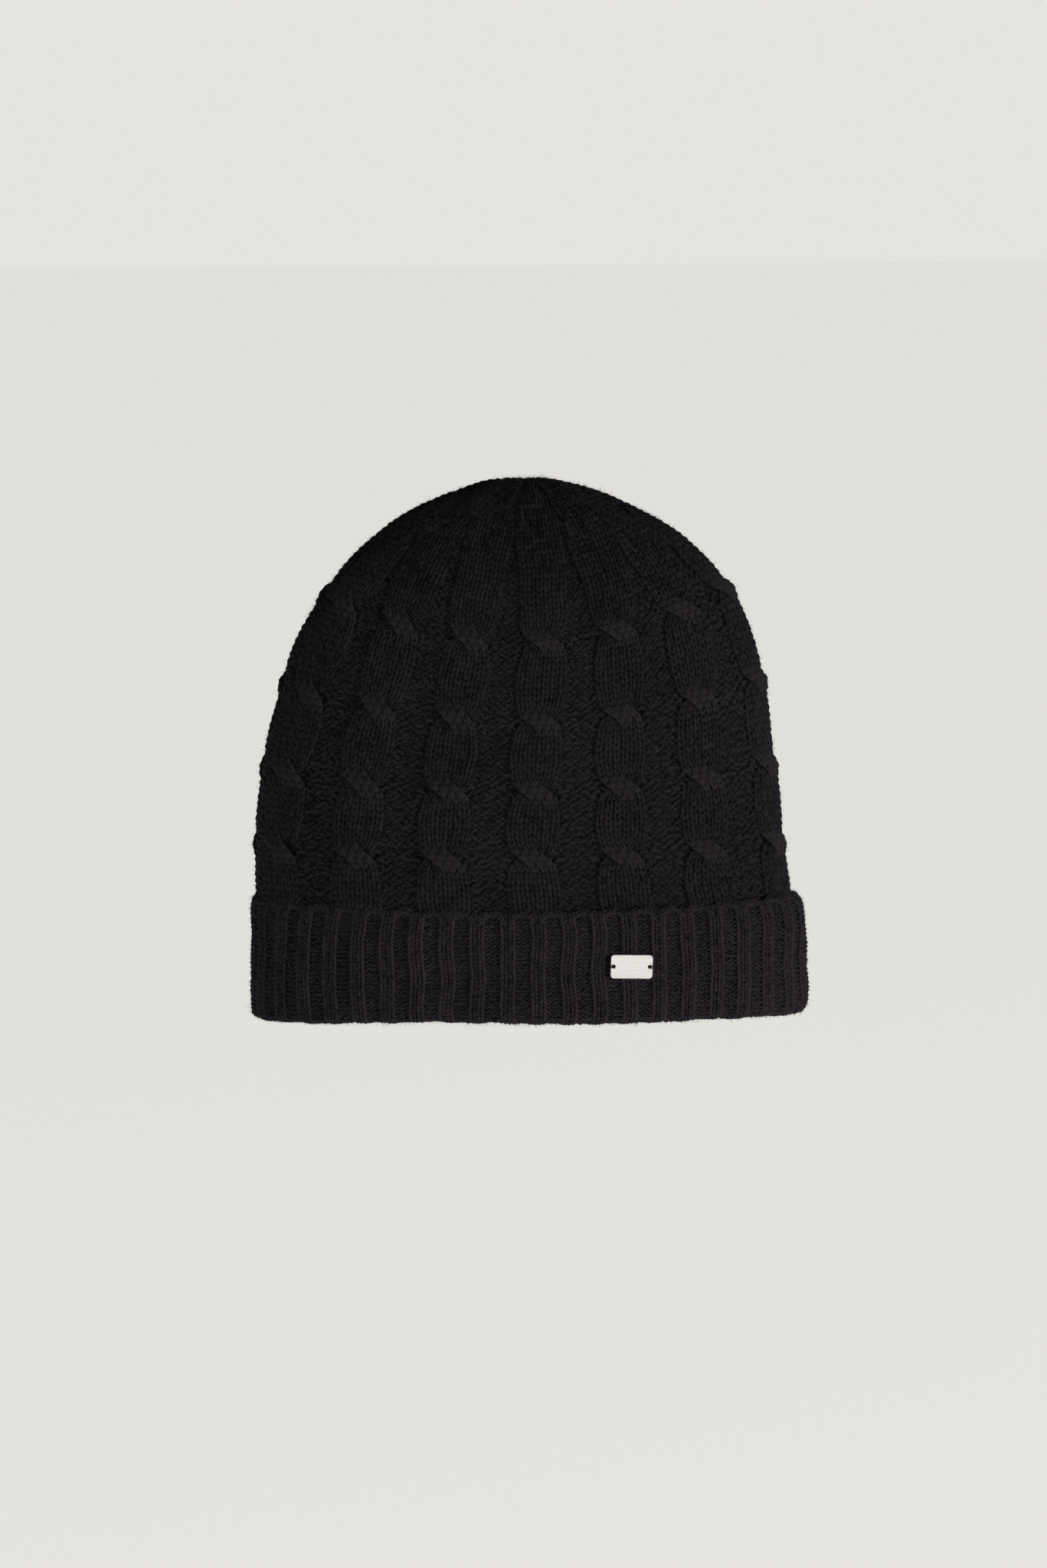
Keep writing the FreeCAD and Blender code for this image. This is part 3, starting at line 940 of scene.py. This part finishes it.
T_SPLIT = int(math.ceil(t_fold1)) - 1
SECTORS = 5
CUFF_PILES = []
for i in range(SECTORS):
    pile = Pile()
    a, b = i * RIBS // SECTORS, (i + 1) * RIBS // SECTORS
    rib_piece(a, b, 0, T_SPLIT, 700 + i, pile)
    rib_edge(a, b, 760 + i, pile)
    rib_arches(a, b, 780 + i, pile)
    CUFF_PILES.append(pile)
    normalise_uv(pile)
    ob = build_mesh("cuff_rib_%02d" % (i + 1), pile)
    finish_piece(ob, HAT, ["turned_up_cuff"], WOOL_RIB_PAINTED_LIGHTER)
T_BAND = int(math.floor(rib_total)) - 1
for i in range(3):
    pile = Pile()
    a, b = i * RIBS // 3, (i + 1) * RIBS // 3
    rib_piece(a, b, T_SPLIT, T_BAND, 800 + i, pile, fine=False)
    normalise_uv(pile)
    ob = build_mesh("inner_band_rib_%02d" % (i + 1), pile)
    finish_piece(ob, HAT, ["inner_rib_band"], WOOL)

# the closed cloth behind the rib's stitches
pile = Pile()
tt = np.concatenate([[0.05], np.arange(0.5, rib_total - 0.6, 0.5)])
uu = RIB_U0 + (np.arange(RIBS * 20) / 20 - RIBS / 2 - 0.26) / RIBS
UU, TT = np.meshgrid(uu, tt)
ph = ((UU - RIB_U0) * RIBS) % 1.0
knit_here = smooth01((0.285 - np.minimum(ph, 1 - ph)) / 0.07)
face = rib.point(UU, TT, -1.80 + 0.45 * knit_here - 0.55 + rib_ease(UU, TT))
back = rib.point(UU, TT, np.full_like(UU, -4.05) - 0.0)
ring = np.concatenate([back[::-1], face, back[-1:]], 0)
uvr = np.stack([np.repeat((UU[:1] - UU.min()), len(ring), 0), np.repeat(np.linspace(0, 1, len(ring))[:, None], UU.shape[1], 1)], -1)
pile.add_grid(ring, np.clip(uvr, 0.001, 0.999), True)
ob = build_mesh("rib_backing", pile)
finish_piece(ob, HAT, ["turned_up_cuff"], WOOL_UNDER)


# ------------------------------------------------------------------ loose wool fibres standing off the yarn
def fibres(name, piles, count, seed, keep, long=1.0):
    """Fine curved hairs rooted in the yarn, each a tapering three-sided spike of two steps."""
    rk = np.random.default_rng(seed)
    sets = [e for p in piles for e in p.elements]
    share = np.array([len(e[0]) for e in sets], float)
    share /= share.sum()
    pile = Pile()
    spots, outs, alongs = [], [], []
    for (verts, sides, rings), part in zip(sets, share):
        m = int(count * part * 1.05) + 1
        e = rk.integers(0, len(verts), m)
        ring = rk.integers(1, rings - 1, m)
        ang = np.sin(cross_section(sides))
        best = np.nonzero(ang > 0.35)[0]
        side = best[rk.integers(0, len(best), m)]
        body_v = verts[:, :sides * rings].reshape(len(verts), rings, sides, 3)
        mid = body_v[e, ring].mean(1)
        skin = body_v[e, ring, side]
        nxt = body_v[e, ring + 1].mean(1)
        o = skin - mid
        o /= np.maximum(np.linalg.norm(o, axis=1, keepdims=True), 1e-9)
        a = nxt - mid
        a /= np.maximum(np.linalg.norm(a, axis=1, keepdims=True), 1e-9)
        spots.append(mid + (skin - mid) * 0.8)
        outs.append(o)
        alongs.append(a)
    spots, outs, alongs = map(np.concatenate, (spots, outs, alongs))
    ok = keep(spots)
    spots, outs, alongs = spots[ok], outs[ok], alongs[ok]
    n = len(spots)
    drift = rk.normal(0, 1, (n, 3))
    d0 = outs * 0.55 + alongs * rk.normal(0, 0.55, (n, 1)) + 0.45 * drift
    d0 /= np.linalg.norm(d0, axis=1, keepdims=True)
    # a fibre never grows back into the cloth
    inward = np.minimum((d0 * outs).sum(1, keepdims=True) - 0.22, 0)
    d0 = d0 - outs * inward
    length = long * (0.7 + 1.0 * rk.gamma(2.0, 0.45, (n, 1)))
    length = np.minimum(length, 3.4 * long)
    bend = rk.normal(0, 0.45, (n, 3))
    p0 = spots
    p1 = p0 + d0 * length * 0.5
    d1 = d0 + bend
    d1 /= np.linalg.norm(d1, axis=1, keepdims=True)
    p2 = p1 + d1 * length * 0.5
    e1 = np.cross(d0, rk.normal(0, 1, (n, 3)))
    e1 /= np.maximum(np.linalg.norm(e1, axis=1, keepdims=True), 1e-9)
    e2 = np.cross(d0, e1)
    e2 /= np.maximum(np.linalg.norm(e2, axis=1, keepdims=True), 1e-9)
    rad = rk.uniform(0.034, 0.062, (n, 1))
    rows = []
    for c, k in ((p0, 1.0), (p1, 0.72)):
        for g in (0, 2 * np.pi / 3, 4 * np.pi / 3):
            rows.append(c + rad * k * (math.cos(g) * e1 + math.sin(g) * e2))
    rows.append(p2)
    v = np.stack(rows, 1)
    v[..., 2] = np.maximum(v[..., 2], 0.03)
    f = []
    for a in range(3):
        b = (a + 1) % 3
        f += [(a, b, 3 + b), (a, 3 + b, 3 + a), (3 + a, 3 + b, 6)]
    f.append((0, 2, 1))
    pile.t.append((np.array(f)[None] + (np.arange(n) * 7)[:, None, None]).reshape(-1, 3))
    pile.v.append(v.reshape(-1, 3))
    place = np.linspace(0.01, 0.99, n)
    pile.uv.append(np.stack([np.repeat(place, 7), np.tile([0.02, 0.02, 0.02, 0.5, 0.5, 0.5, 0.98], n)], -1))
    # painted shade: the fibres darken towards the crown
    painted_crown_shade = 1 - 0.55 * smooth01((p0[:, 2] - 150) / 35)
    pile.tone.append(np.repeat(rk.uniform(0, 1, n) * painted_crown_shade, 7))
    pile.crest.append(np.tile([0.3, 0.3, 0.3, 0.8, 0.8, 0.8, 1.0], n))
    pile.n = 7 * n
    ob = build_mesh(name, pile)
    finish_piece(ob, HAT, None, FIBRE)
    return n


def fibre_material():
    m, nt, b = new_material("wool_fibre")
    b.inputs["Roughness"].default_value = 0.75
    b.inputs["Specular IOR Level"].default_value = 0.25
    at = nt.nodes.new("ShaderNodeAttribute")
    at.attribute_name = "tone"
    ramp = nt.nodes.new("ShaderNodeValToRGB")
    ramp.color_ramp.elements[0].color = (0.010, 0.0087, 0.0104, 1)
    ramp.color_ramp.elements[1].color = (0.090, 0.078, 0.093, 1)
    nt.links.new(at.outputs["Fac"], ramp.inputs["Fac"])
    nt.links.new(ramp.outputs["Color"], b.inputs["Base Color"])
    return m


FIBRE = fibre_material()


def clear_of_tag(p):
    return ~((np.abs(p[:, 0] - TAG_X) < 11.0) & (np.abs(p[:, 2] - TAG_Z) < 7.5) & (p[:, 1] < 0))


def body_seen(p):
    return p[:, 2] > CUFF_H - 1.0


for i in range(4):
    a, b = i * len(BODY_PILES) // 4, (i + 1) * len(BODY_PILES) // 4
    fibres("body_fuzz_%02d" % (i + 1), BODY_PILES[a:b], 19400 * (b - a) / 1.75, 9100 + i, body_seen)
for i in range(3):
    a, b = i * SECTORS // 3, (i + 1) * SECTORS // 3
    fibres("cuff_fuzz_%02d" % (i + 1), CUFF_PILES[a:b], 9300 * (b - a), 9200 + i, clear_of_tag)


def scene_camera():
    cam = bpy.data.cameras.new("camera")
    ob = bpy.data.objects.new("camera", cam)
    scene.collection.objects.link(ob)
    cam.sensor_fit = "AUTO"
    cam.sensor_width = 36.0
    cam.lens = 180.0
    elev = math.radians(5.0)
    dist = 3.100
    target = Vector((-0.0015, 0.0, 0.0920))
    ob.location = target + Vector((0, -math.cos(elev), math.sin(elev))) * dist
    ob.rotation_mode = "QUATERNION"
    look = (target - ob.location).to_track_quat("-Z", "Y")
    ob.rotation_quaternion = look @ Matrix.Rotation(math.radians(-0.45), 3, "Z").to_quaternion()
    cam.clip_start, cam.clip_end = 0.05, 50
    scene.camera = ob
    return ob


# ------------------------------------------------------------------ plaits of linking yarn: the seams
def plait(path, normal, pitch, spread, radius, seed, name, node):
    """Slanted loops, left and right in turn, along a path; normal points away from the cloth."""
    rk = np.random.default_rng(seed)
    seg = np.linalg.norm(np.diff(path, axis=0), axis=1)
    s_at = np.concatenate([[0], np.cumsum(seg)])
    m = int(s_at[-1] / pitch)
    out = []
    for k in range(m):
        for side in (-1, 1):
            c = (k + (0.5 if side > 0 else 0.0)) * pitch
            if c + pitch > s_at[-1]:
                continue
            ts = c + np.array([-0.15, 0.2, 0.55, 0.85, 1.1]) * pitch
            ts = np.clip(ts, 0, s_at[-1] - 1e-6)
            base = np.stack([np.interp(ts, s_at, path[:, i]) for i in range(3)], 1)
            nn = np.stack([np.interp(ts, s_at, normal[:, i]) for i in range(3)], 1)
            nn /= np.linalg.norm(nn, axis=1, keepdims=True)
            d = np.gradient(base, axis=0)
            d /= np.maximum(np.linalg.norm(d, axis=1, keepdims=True), 1e-9)
            across = np.cross(d, nn)
            lat = side * spread * np.array([1.05, 0.85, 0.45, 0.05, -0.2]) * (1 + 0.06 * rk.normal())
            up = np.array([-0.35, 0.2, 0.5, 0.25, -0.3]) * radius * 1.4
            out.append((base + across * lat[:, None] + nn * up[:, None], across, nn))
    pile = Pile()
    verts = []
    ang = np.radians(np.arange(6) * 60.0)
    rr = np.array([0.6, 1.0, 1.1, 1.0, 0.6]) * radius
    for line, across, nn in out:
        d = np.gradient(line, axis=0)
        d /= np.linalg.norm(d, axis=1, keepdims=True)
        e1 = np.cross(d, nn)
        e1 /= np.linalg.norm(e1, axis=1, keepdims=True)
        e2 = np.cross(e1, d)
        v = line[:, None] + rr[:, None, None] * (np.cos(ang)[None, :, None] * e1[:, None] + np.sin(ang)[None, :, None] * e2[:, None])
        verts.append(np.concatenate([v.reshape(-1, 3), line[:1] - d[:1] * radius * 0.4, line[-1:] + d[-1:] * radius * 0.4]))
    verts = np.array(verts)
    uv = np.stack([np.repeat(np.linspace(0.01, 0.99, len(verts))[:, None], verts.shape[1], 1),
                   np.repeat(np.linspace(0.01, 0.99, verts.shape[1])[None], len(verts), 0)], -1)
    pile.add(verts, uv, 6, 5, rk.uniform(0.2, 1, len(verts)))
    ob = build_mesh(name, pile)
    finish_piece(ob, HAT, [node], WOOL)
    return ob


tb = np.arange(t_fold1 - 1.5, rib_total - 1.5, 0.25)
low = rib.point(np.zeros_like(tb), tb, np.full_like(tb, 0.55))
low_n = rib._at(rib.nor, np.zeros_like(tb), tb)
tu = np.arange(1.0, 73.5, 0.25)
high = body.point(np.zeros_like(tu), tu, np.full_like(tu, -5.15))
high_n = -body._at(body.nor, np.zeros_like(tu), tu)
plait(np.vstack([low, high]), np.vstack([low_n, high_n]), 2.6, 0.95, 0.62, 901, "back_seam_linking", "back_seam")
tc_ = np.arange(1.2, t_fold0 - 0.2, 0.25)
gap = rib.point(np.zeros_like(tc_), tc_, np.full_like(tc_, -4.35))
gap_n = -rib._at(rib.nor, np.zeros_like(tc_), tc_)
plait(gap, gap_n, 2.6, 0.9, 0.55, 902, "cuff_seam_linking", "cuff_seam")


# ------------------------------------------------------------------ twisted yarn along a path
def twisted(name, path, radius, plies, turns_per_mm, mat, slot, node, closed=False, sides=7, ob_body=None, join=None, tones=0.6):
    """Plies wound round each other along a path of points in millimetres."""
    p = np.asarray(path, float)
    n = len(p)
    if closed:
        d = np.roll(p, -1, 0) - np.roll(p, 1, 0)
    else:
        d = np.gradient(p, axis=0)
    d /= np.linalg.norm(d, axis=1, keepdims=True)
    ref = np.array([0.0, 0.0, 1.0]) if abs(d[0, 2]) < 0.8 else np.array([0.0, 1.0, 0.0])
    a = np.cross(d[0], ref)
    a /= np.linalg.norm(a)
    frames = [a]
    for k in range(1, n):
        a = frames[-1] - d[k] * frames[-1].dot(d[k])
        frames.append(a / np.linalg.norm(a))
    e1 = np.array(frames)
    e2 = np.cross(d, e1)
    seg = np.linalg.norm(np.diff(p, axis=0), axis=1)
    s_at = np.concatenate([[0], np.cumsum(seg)])
    total = s_at[-1] + (np.linalg.norm(p[0] - p[-1]) if closed else 0)
    turns = turns_per_mm * total
    if closed:
        turns = round(turns)
    pr = radius * (0.54 if plies == 2 else 0.48)
    off = radius - pr
    pile = join if join is not None else Pile()
    ang = np.arange(sides) * 2 * np.pi / sides
    for q in range(plies):
        ph = 2 * np.pi * (turns * s_at / total + q / plies)
        c = p + off * (np.cos(ph)[:, None] * e1 + np.sin(ph)[:, None] * e2)
        dd = np.roll(c, -1, 0) - np.roll(c, 1, 0) if closed else np.gradient(c, axis=0)
        dd /= np.linalg.norm(dd, axis=1, keepdims=True)
        f1 = np.cross(dd, e2)
        f1 /= np.linalg.norm(f1, axis=1, keepdims=True)
        f2 = np.cross(dd, f1)
        ring = c[:, None] + pr * (np.cos(ang)[None, :, None] * f1[:, None] + np.sin(ang)[None, :, None] * f2[:, None])
        if closed:
            ring = np.concatenate([ring, ring[:1]], 0)
        else:
            ring = np.concatenate([np.repeat(c[:1, None], sides, 1), ring, np.repeat(c[-1:, None], sides, 1)], 0)
        rows = len(ring)
        uv = np.stack(np.meshgrid(np.linspace(0.01, 0.99, sides), np.linspace(0.01, 0.99, rows)), -1)
        crest = np.full((rows, sides), tones)
        pile.add_grid(ring, uv, True, tone=tones, crest=crest)
    return pile


THREAD = wool("thread_black", (0.0030, 0.0028, 0.0030), (0.020, 0.018, 0.019), 0.05, (0.5, 0.5, 0.5), rough=0.6, bump=0.2)
ring_t = np.linspace(0, 2 * np.pi, 97)[:-1]
zc = 204.6
ring_path = np.stack([0.4 + 4.2 * np.cos(ring_t), 4.2 * np.sin(ring_t), zc + 0 * ring_t], 1)
pile = twisted("", ring_path, 1.05, 3, 0.22, WOOL, "", "", closed=True)
ob = build_mesh("crown_closing_twist", pile)
finish_piece(ob, HAT, ["crown_closing_yarn"], WOOL)

# ------------------------------------------------------------------ the metal tag
TAG_W, TAG_H, TAG_T_MM, TAG_R, HOLE_R, HOLE_X = 16.7, 9.4, 0.8, 1.4, 0.68, 7.17
ty = -CUFF_B * math.sqrt(1 - (TAG_X / CUFF_A) ** 2)
nx, ny = TAG_X / CUFF_A**2, ty / CUFF_B**2
ln = math.hypot(nx, ny)
nx, ny = nx / ln, ny / ln
TAG_TURN = math.asin(nx)
STANDOFF = 1.0
TAG_TILT = math.radians(2.1)


def tag_to_row(p):
    """Plate millimetres (x along it, y into the cuff, z up) to the row frame."""
    p = np.asarray(p, float)
    c, sn = math.cos(TAG_TURN), math.sin(TAG_TURN)
    ct, st = math.cos(TAG_TILT), math.sin(TAG_TILT)
    p = np.stack([p[..., 0] * ct + p[..., 2] * st, p[..., 1], -p[..., 0] * st + p[..., 2] * ct], -1)
    out = np.empty_like(p)
    out[..., 0] = p[..., 0] * c - p[..., 1] * sn + TAG_X + nx * STANDOFF
    out[..., 1] = p[..., 0] * sn + p[..., 1] * c + ty + ny * STANDOFF
    out[..., 2] = p[..., 2] + TAG_Z
    return out


def outline(inset, n=9):
    pts = []
    w, h, r = TAG_W / 2 - inset, TAG_H / 2 - inset, max(TAG_R - inset, 0.2)
    for cx, cz, a0 in ((w - r, h - r, 0), (-w + r, h - r, 90), (-w + r, -h + r, 180), (w - r, -h + r, 270)):
        for a in np.radians(a0 + np.linspace(0, 90, n)):
            pts.append((cx + r * math.cos(a), cz + r * math.sin(a)))
    return np.array(pts)


def hole_loop(side, r, n=28):
    a = np.linspace(0, 2 * np.pi, n + 1)[:-1]
    return np.stack([side * HOLE_X + r * np.cos(a), r * np.sin(a)], 1)


import bmesh


def make_tag():
    bm = bmesh.new()

    def loop(pts, y):
        v3 = tag_to_row(np.stack([pts[:, 0], np.full(len(pts), y), pts[:, 1]], 1)) * MM
        vs = [bm.verts.new(v) for v in v3]
        es = [bm.edges.new((vs[i], vs[(i + 1) % len(vs)])) for i in range(len(vs))]
        return vs, es

    def bridge(a, b, flip):
        n = len(a)
        for i in range(n):
            f = (a[i], a[(i + 1) % n], b[(i + 1) % n], b[i])
            bm.faces.new(f[::-1] if flip else f)

    T = TAG_T_MM
    levels = [(0.10, 0.0), (0.0, -0.10), (0.0, -(T - 0.22)), (0.06, -(T - 0.09)), (0.22, -T)]
    rings = [loop(outline(i), y) for i, y in levels]
    for a, b in zip(rings[:-1], rings[1:]):
        bridge(a[0], b[0], True)
    for cap in (0, 1):
        y = 0.0 if cap == 0 else -T
        outer = rings[0] if cap == 0 else rings[-1]
        holes = [loop(hole_loop(sd, HOLE_R + 0.14), y) for sd in (-1, 1)]
        if cap == 0:
            back_holes = holes
        else:
            front_holes = holes
        geom = outer[1] + holes[0][1] + holes[1][1]
        bmesh.ops.triangle_fill(bm, use_beauty=True, use_dissolve=False, edges=geom)
    for k, sd in enumerate((-1, 1)):
        a = back_holes[k][0]
        m1 = loop(hole_loop(sd, HOLE_R), -0.14)[0]
        m2 = loop(hole_loop(sd, HOLE_R), -T + 0.14)[0]
        b = front_holes[k][0]
        bridge(a, m1, False)
        bridge(m1, m2, False)
        bridge(m2, b, False)
    bmesh.ops.recalc_face_normals(bm, faces=bm.faces)
    me = bpy.data.meshes.new("tag_plate_metal")
    bm.to_mesh(me)
    bm.free()
    me.set_sharp_from_angle(angle=math.radians(28))
    for p in me.polygons:
        p.use_smooth = True
    ob = bpy.data.objects.new("tag_plate_metal", me)
    scene.collection.objects.link(ob)
    return ob


def tag_metal():
    m, nt, b = new_material("tag_brushed_metal")
    b.inputs["Metallic"].default_value = 1.0
    tc = nt.nodes.new("ShaderNodeTexCoord")
    mp = nt.nodes.new("ShaderNodeMapping")
    mp.inputs["Rotation"].default_value = (0, 0, -TAG_TURN)
    mp.inputs["Scale"].default_value = (60.0, 60.0, 5200.0)
    nt.links.new(tc.outputs["Object"], mp.inputs["Vector"])
    br = nt.nodes.new("ShaderNodeTexNoise")
    br.inputs["Scale"].default_value = 1.0
    br.inputs["Detail"].default_value = 4.0
    nt.links.new(mp.outputs["Vector"], br.inputs["Vector"])
    ramp = nt.nodes.new("ShaderNodeValToRGB")
    ramp.color_ramp.elements[0].position = 0.3
    ramp.color_ramp.elements[0].color = (0.52, 0.50, 0.485, 1)
    ramp.color_ramp.elements[1].position = 0.72
    ramp.color_ramp.elements[1].color = (0.64, 0.62, 0.60, 1)
    nt.links.new(br.outputs["Fac"], ramp.inputs["Fac"])
    nt.links.new(ramp.outputs["Color"], b.inputs["Base Color"])
    rr = nt.nodes.new("ShaderNodeMapRange")
    rr.inputs["To Min"].default_value = 0.36
    rr.inputs["To Max"].default_value = 0.50
    nt.links.new(br.outputs["Fac"], rr.inputs["Value"])
    nt.links.new(rr.outputs["Result"], b.inputs["Roughness"])
    bp = nt.nodes.new("ShaderNodeBump")
    bp.inputs["Strength"].default_value = 0.12
    bp.inputs["Distance"].default_value = 0.00004
    nt.links.new(br.outputs["Fac"], bp.inputs["Height"])
    nt.links.new(bp.outputs["Normal"], b.inputs["Normal"])
    return m


ob = make_tag()
ob.data.materials.append(tag_metal())
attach(ob, "tag")
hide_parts("tag_plate")


def rounded(points, r, n=5):
    """A line through points with each corner rounded by n steps."""
    p = [np.array(q, float) for q in points]
    out = [p[0]]
    for a, b, c in zip(p[:-2], p[1:-1], p[2:]):
        u, w = a - b, c - b
        lu, lw = np.linalg.norm(u), np.linalg.norm(w)
        k = min(r, lu * 0.45, lw * 0.45)
        s0, s1 = b + u / lu * k, b + w / lw * k
        for t in np.linspace(0, 1, n):
            out.append((1 - t) ** 2 * s0 + 2 * t * (1 - t) * b + t**2 * s1)
    out.append(p[-1])
    dense = []
    for a, b in zip(out[:-1], out[1:]):
        m = max(1, int(np.linalg.norm(b - a) / 0.12))
        for t in np.arange(m) / m:
            dense.append(a * (1 - t) + b * t)
    dense.append(out[-1])
    return np.array(dense)


for side, nm in ((-1, "left"), (1, "right")):
    pile = Pile()
    for dz, tilt in ((-0.22, -0.25), (0.22, 0.22)):
        x_in = side * HOLE_X
        x_out = side * (TAG_W / 2 + 0.62)
        yf = -(TAG_T_MM + 0.38)
        pts = [(x_out + side * 0.1, 2.2, dz * 2 + tilt), (x_out, 0.6, dz * 1.8 + tilt), (x_out - side * 0.12, yf + 0.1, dz * 1.5 + tilt),
               ((x_in + x_out) / 2, yf, dz * 1.2 + tilt * 0.5), (x_in + side * 0.05, yf + 0.05, dz * 0.9), (x_in, -0.3, dz * 0.8), (x_in, 2.0, dz * 0.6)]
        path = tag_to_row(rounded(pts, 0.45))
        twisted("", path, 0.27, 2, 0.75, THREAD, "", "", sides=7, join=pile)
    ob = build_mesh("tag_thread_" + nm, pile)
    finish_piece(ob, HAT, ["tag_stitch_" + nm], THREAD)


# ------------------------------------------------------------------ the blank ribbon label inside at the back
def make_label():
    zs = np.concatenate([np.linspace(33.55, 60.6, 56)])
    xs = np.linspace(-14.9, 14.9, 61)
    Z, X = np.meshgrid(zs, xs, indexing="ij")
    r = np.random.default_rng(41)
    wave = 0.10 * np.sin(X / 5.3 + 0.7) * smooth01((58 - Z) / 16) + 0.06 * np.sin(Z / 3.7)
    front = np.stack([X, 39.20 + wave + 0.10 * (np.abs(X) > 14.4), Z], -1)
    back = np.stack([X, 39.86 + wave - 0.05 * (np.abs(X) > 14.4), Z], -1)
    # a closed slab: across the front and back round the two selvedges
    ring = np.concatenate([front, back[:, ::-1]], 1)
    n = ring.shape[1]
    mid0 = ring[:1].mean(1, keepdims=True) * 0 + (front[:1] + back[:1])[:, :, :].mean(1, keepdims=True) / 2
    cap0 = np.concatenate([(front[:1] + back[:1]) / 2, ((front[:1] + back[:1]) / 2)[:, ::-1]], 1)
    cap1 = np.concatenate([(front[-1:] + back[-1:]) / 2, ((front[-1:] + back[-1:]) / 2)[:, ::-1]], 1)
    cap0[..., 2] -= 0.12
    cap1[..., 2] += 0.05
    full = np.concatenate([cap0, ring, cap1], 0)
    full = full[::-1]
    uu = np.tile(np.concatenate([np.linspace(0.02, 0.48, n // 2), np.linspace(0.52, 0.98, n // 2)]), (len(full), 1))
    vv = np.repeat(np.linspace(0.98, 0.02, len(full))[:, None], n, 1)
    pile = Pile()
    pile.add_grid(full, np.stack([uu, vv], -1), True, tone=0.5, crest=np.full(full.shape[:2], 0.5))
    return build_mesh("label_ribbon", pile)


def ribbon_material():
    m, nt, b = new_material("label_satin")
    b.inputs["Roughness"].default_value = 0.42
    b.inputs["Sheen Weight"].default_value = 0.2
    b.inputs["Sheen Roughness"].default_value = 0.3
    tc = nt.nodes.new("ShaderNodeTexCoord")
    mp = nt.nodes.new("ShaderNodeMapping")
    mp.inputs["Scale"].default_value = (2600.0, 0.0, 5200.0)
    nt.links.new(tc.outputs["Object"], mp.inputs["Vector"])
    ck = nt.nodes.new("ShaderNodeTexChecker")
    ck.inputs["Scale"].default_value = 1.0
    nt.links.new(mp.outputs["Vector"], ck.inputs["Vector"])
    ns = nt.nodes.new("ShaderNodeTexNoise")
    ns.inputs["Scale"].default_value = 420.0
    nt.links.new(tc.outputs["Object"], ns.inputs["Vector"])
    ramp = nt.nodes.new("ShaderNodeValToRGB")
    ramp.color_ramp.elements[0].position = 0.25
    ramp.color_ramp.elements[0].color = (0.030, 0.028, 0.029, 1)
    ramp.color_ramp.elements[1].position = 0.8
    ramp.color_ramp.elements[1].color = (0.060, 0.056, 0.058, 1)
    nt.links.new(ns.outputs["Fac"], ramp.inputs["Fac"])
    nt.links.new(ramp.outputs["Color"], b.inputs["Base Color"])
    bp = nt.nodes.new("ShaderNodeBump")
    bp.inputs["Strength"].default_value = 0.35
    bp.inputs["Distance"].default_value = 0.00006
    nt.links.new(ck.outputs["Fac"], bp.inputs["Height"])
    nt.links.new(bp.outputs["Normal"], b.inputs["Normal"])
    return m


ob = make_label()
ob.data.materials.append(ribbon_material())
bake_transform(ob)
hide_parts("label_hem", "label_flap")

pile = Pile()
for k, x in enumerate((-12.0, -8.0, -4.0, 4.0, 8.0, 12.0)):
    pts = [(x - 1.15, 40.6, 58.7), (x - 1.1, 39.3, 58.72), (x - 0.6, 38.98, 58.75), (x + 0.6, 38.98, 58.68), (x + 1.1, 39.3, 58.7), (x + 1.15, 40.6, 58.7)]
    twisted("", rounded(pts, 0.35), 0.22, 2, 0.8, THREAD, "", "", sides=7, join=pile)
ob = build_mesh("label_thread", pile)
finish_piece(ob, HAT, ["label_stitches"], THREAD)

camera = scene_camera()

# ------------------------------------------------------------------ stage and light
PAPER = (0.783, 0.768, 0.737)
me = bpy.data.meshes.new("floor")
S = 14.0
me.from_pydata([(-S, -S, 0), (S, -S, 0), (S, S, 0), (-S, S, 0)], [], [(0, 1, 2, 3)])
floor = bpy.data.objects.new("floor", me)
scene.collection.objects.link(floor)
fm, fnt, fb = new_material("floor_paper")
fb.inputs["Base Color"].default_value = (0.20, 0.197, 0.19, 1)
fb.inputs["Roughness"].default_value = 1.0
fb.inputs["Specular IOR Level"].default_value = 0.0
fb.inputs["Emission Color"].default_value = (*PAPER, 1)
fb.inputs["Emission Strength"].default_value = 0.955
me.materials.append(fm)
floor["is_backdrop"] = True

world = bpy.data.worlds.new("studio")
world.use_nodes = True
scene.world = world
bg = world.node_tree.nodes["Background"]
bg.inputs["Strength"].default_value = 1.0
wt = world.node_tree
sky = wt.nodes.new("ShaderNodeTexCoord")
split = wt.nodes.new("ShaderNodeSeparateXYZ")
wt.links.new(sky.outputs["Generated"], split.inputs[0])
ramp = wt.nodes.new("ShaderNodeValToRGB")
ramp.color_ramp.interpolation = "EASE"
ramp.color_ramp.elements[0].position = 0.03
ramp.color_ramp.elements[0].color = (*PAPER, 1)
ramp.color_ramp.elements[1].position = 0.075
ramp.color_ramp.elements[1].color = (0.022, 0.022, 0.023, 1)
wt.links.new(split.outputs[2], ramp.inputs["Fac"])
wt.links.new(ramp.outputs["Color"], bg.inputs["Color"])


def area(name, loc, target, size, power, color=(1, 1, 1)):
    la = bpy.data.lights.new(name, "AREA")
    la.shape = "RECTANGLE"
    la.size, la.size_y = size
    la.energy = power
    la.color = color
    ob = bpy.data.objects.new(name, la)
    scene.collection.objects.link(ob)
    ob.location = loc
    ob.rotation_mode = "QUATERNION"
    ob.rotation_quaternion = (Vector(target) - Vector(loc)).to_track_quat("-Z", "Y")
    return ob


area("key", (1.9, -1.6, 0.12), (0, 0, 0.04), (1.1, 0.7), 56)
area("front", (-0.3, -2.4, 0.02), (0, 0, 0.03), (1.2, 0.6), 19)

scene.view_settings.view_transform = "Standard"

lo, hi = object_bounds()
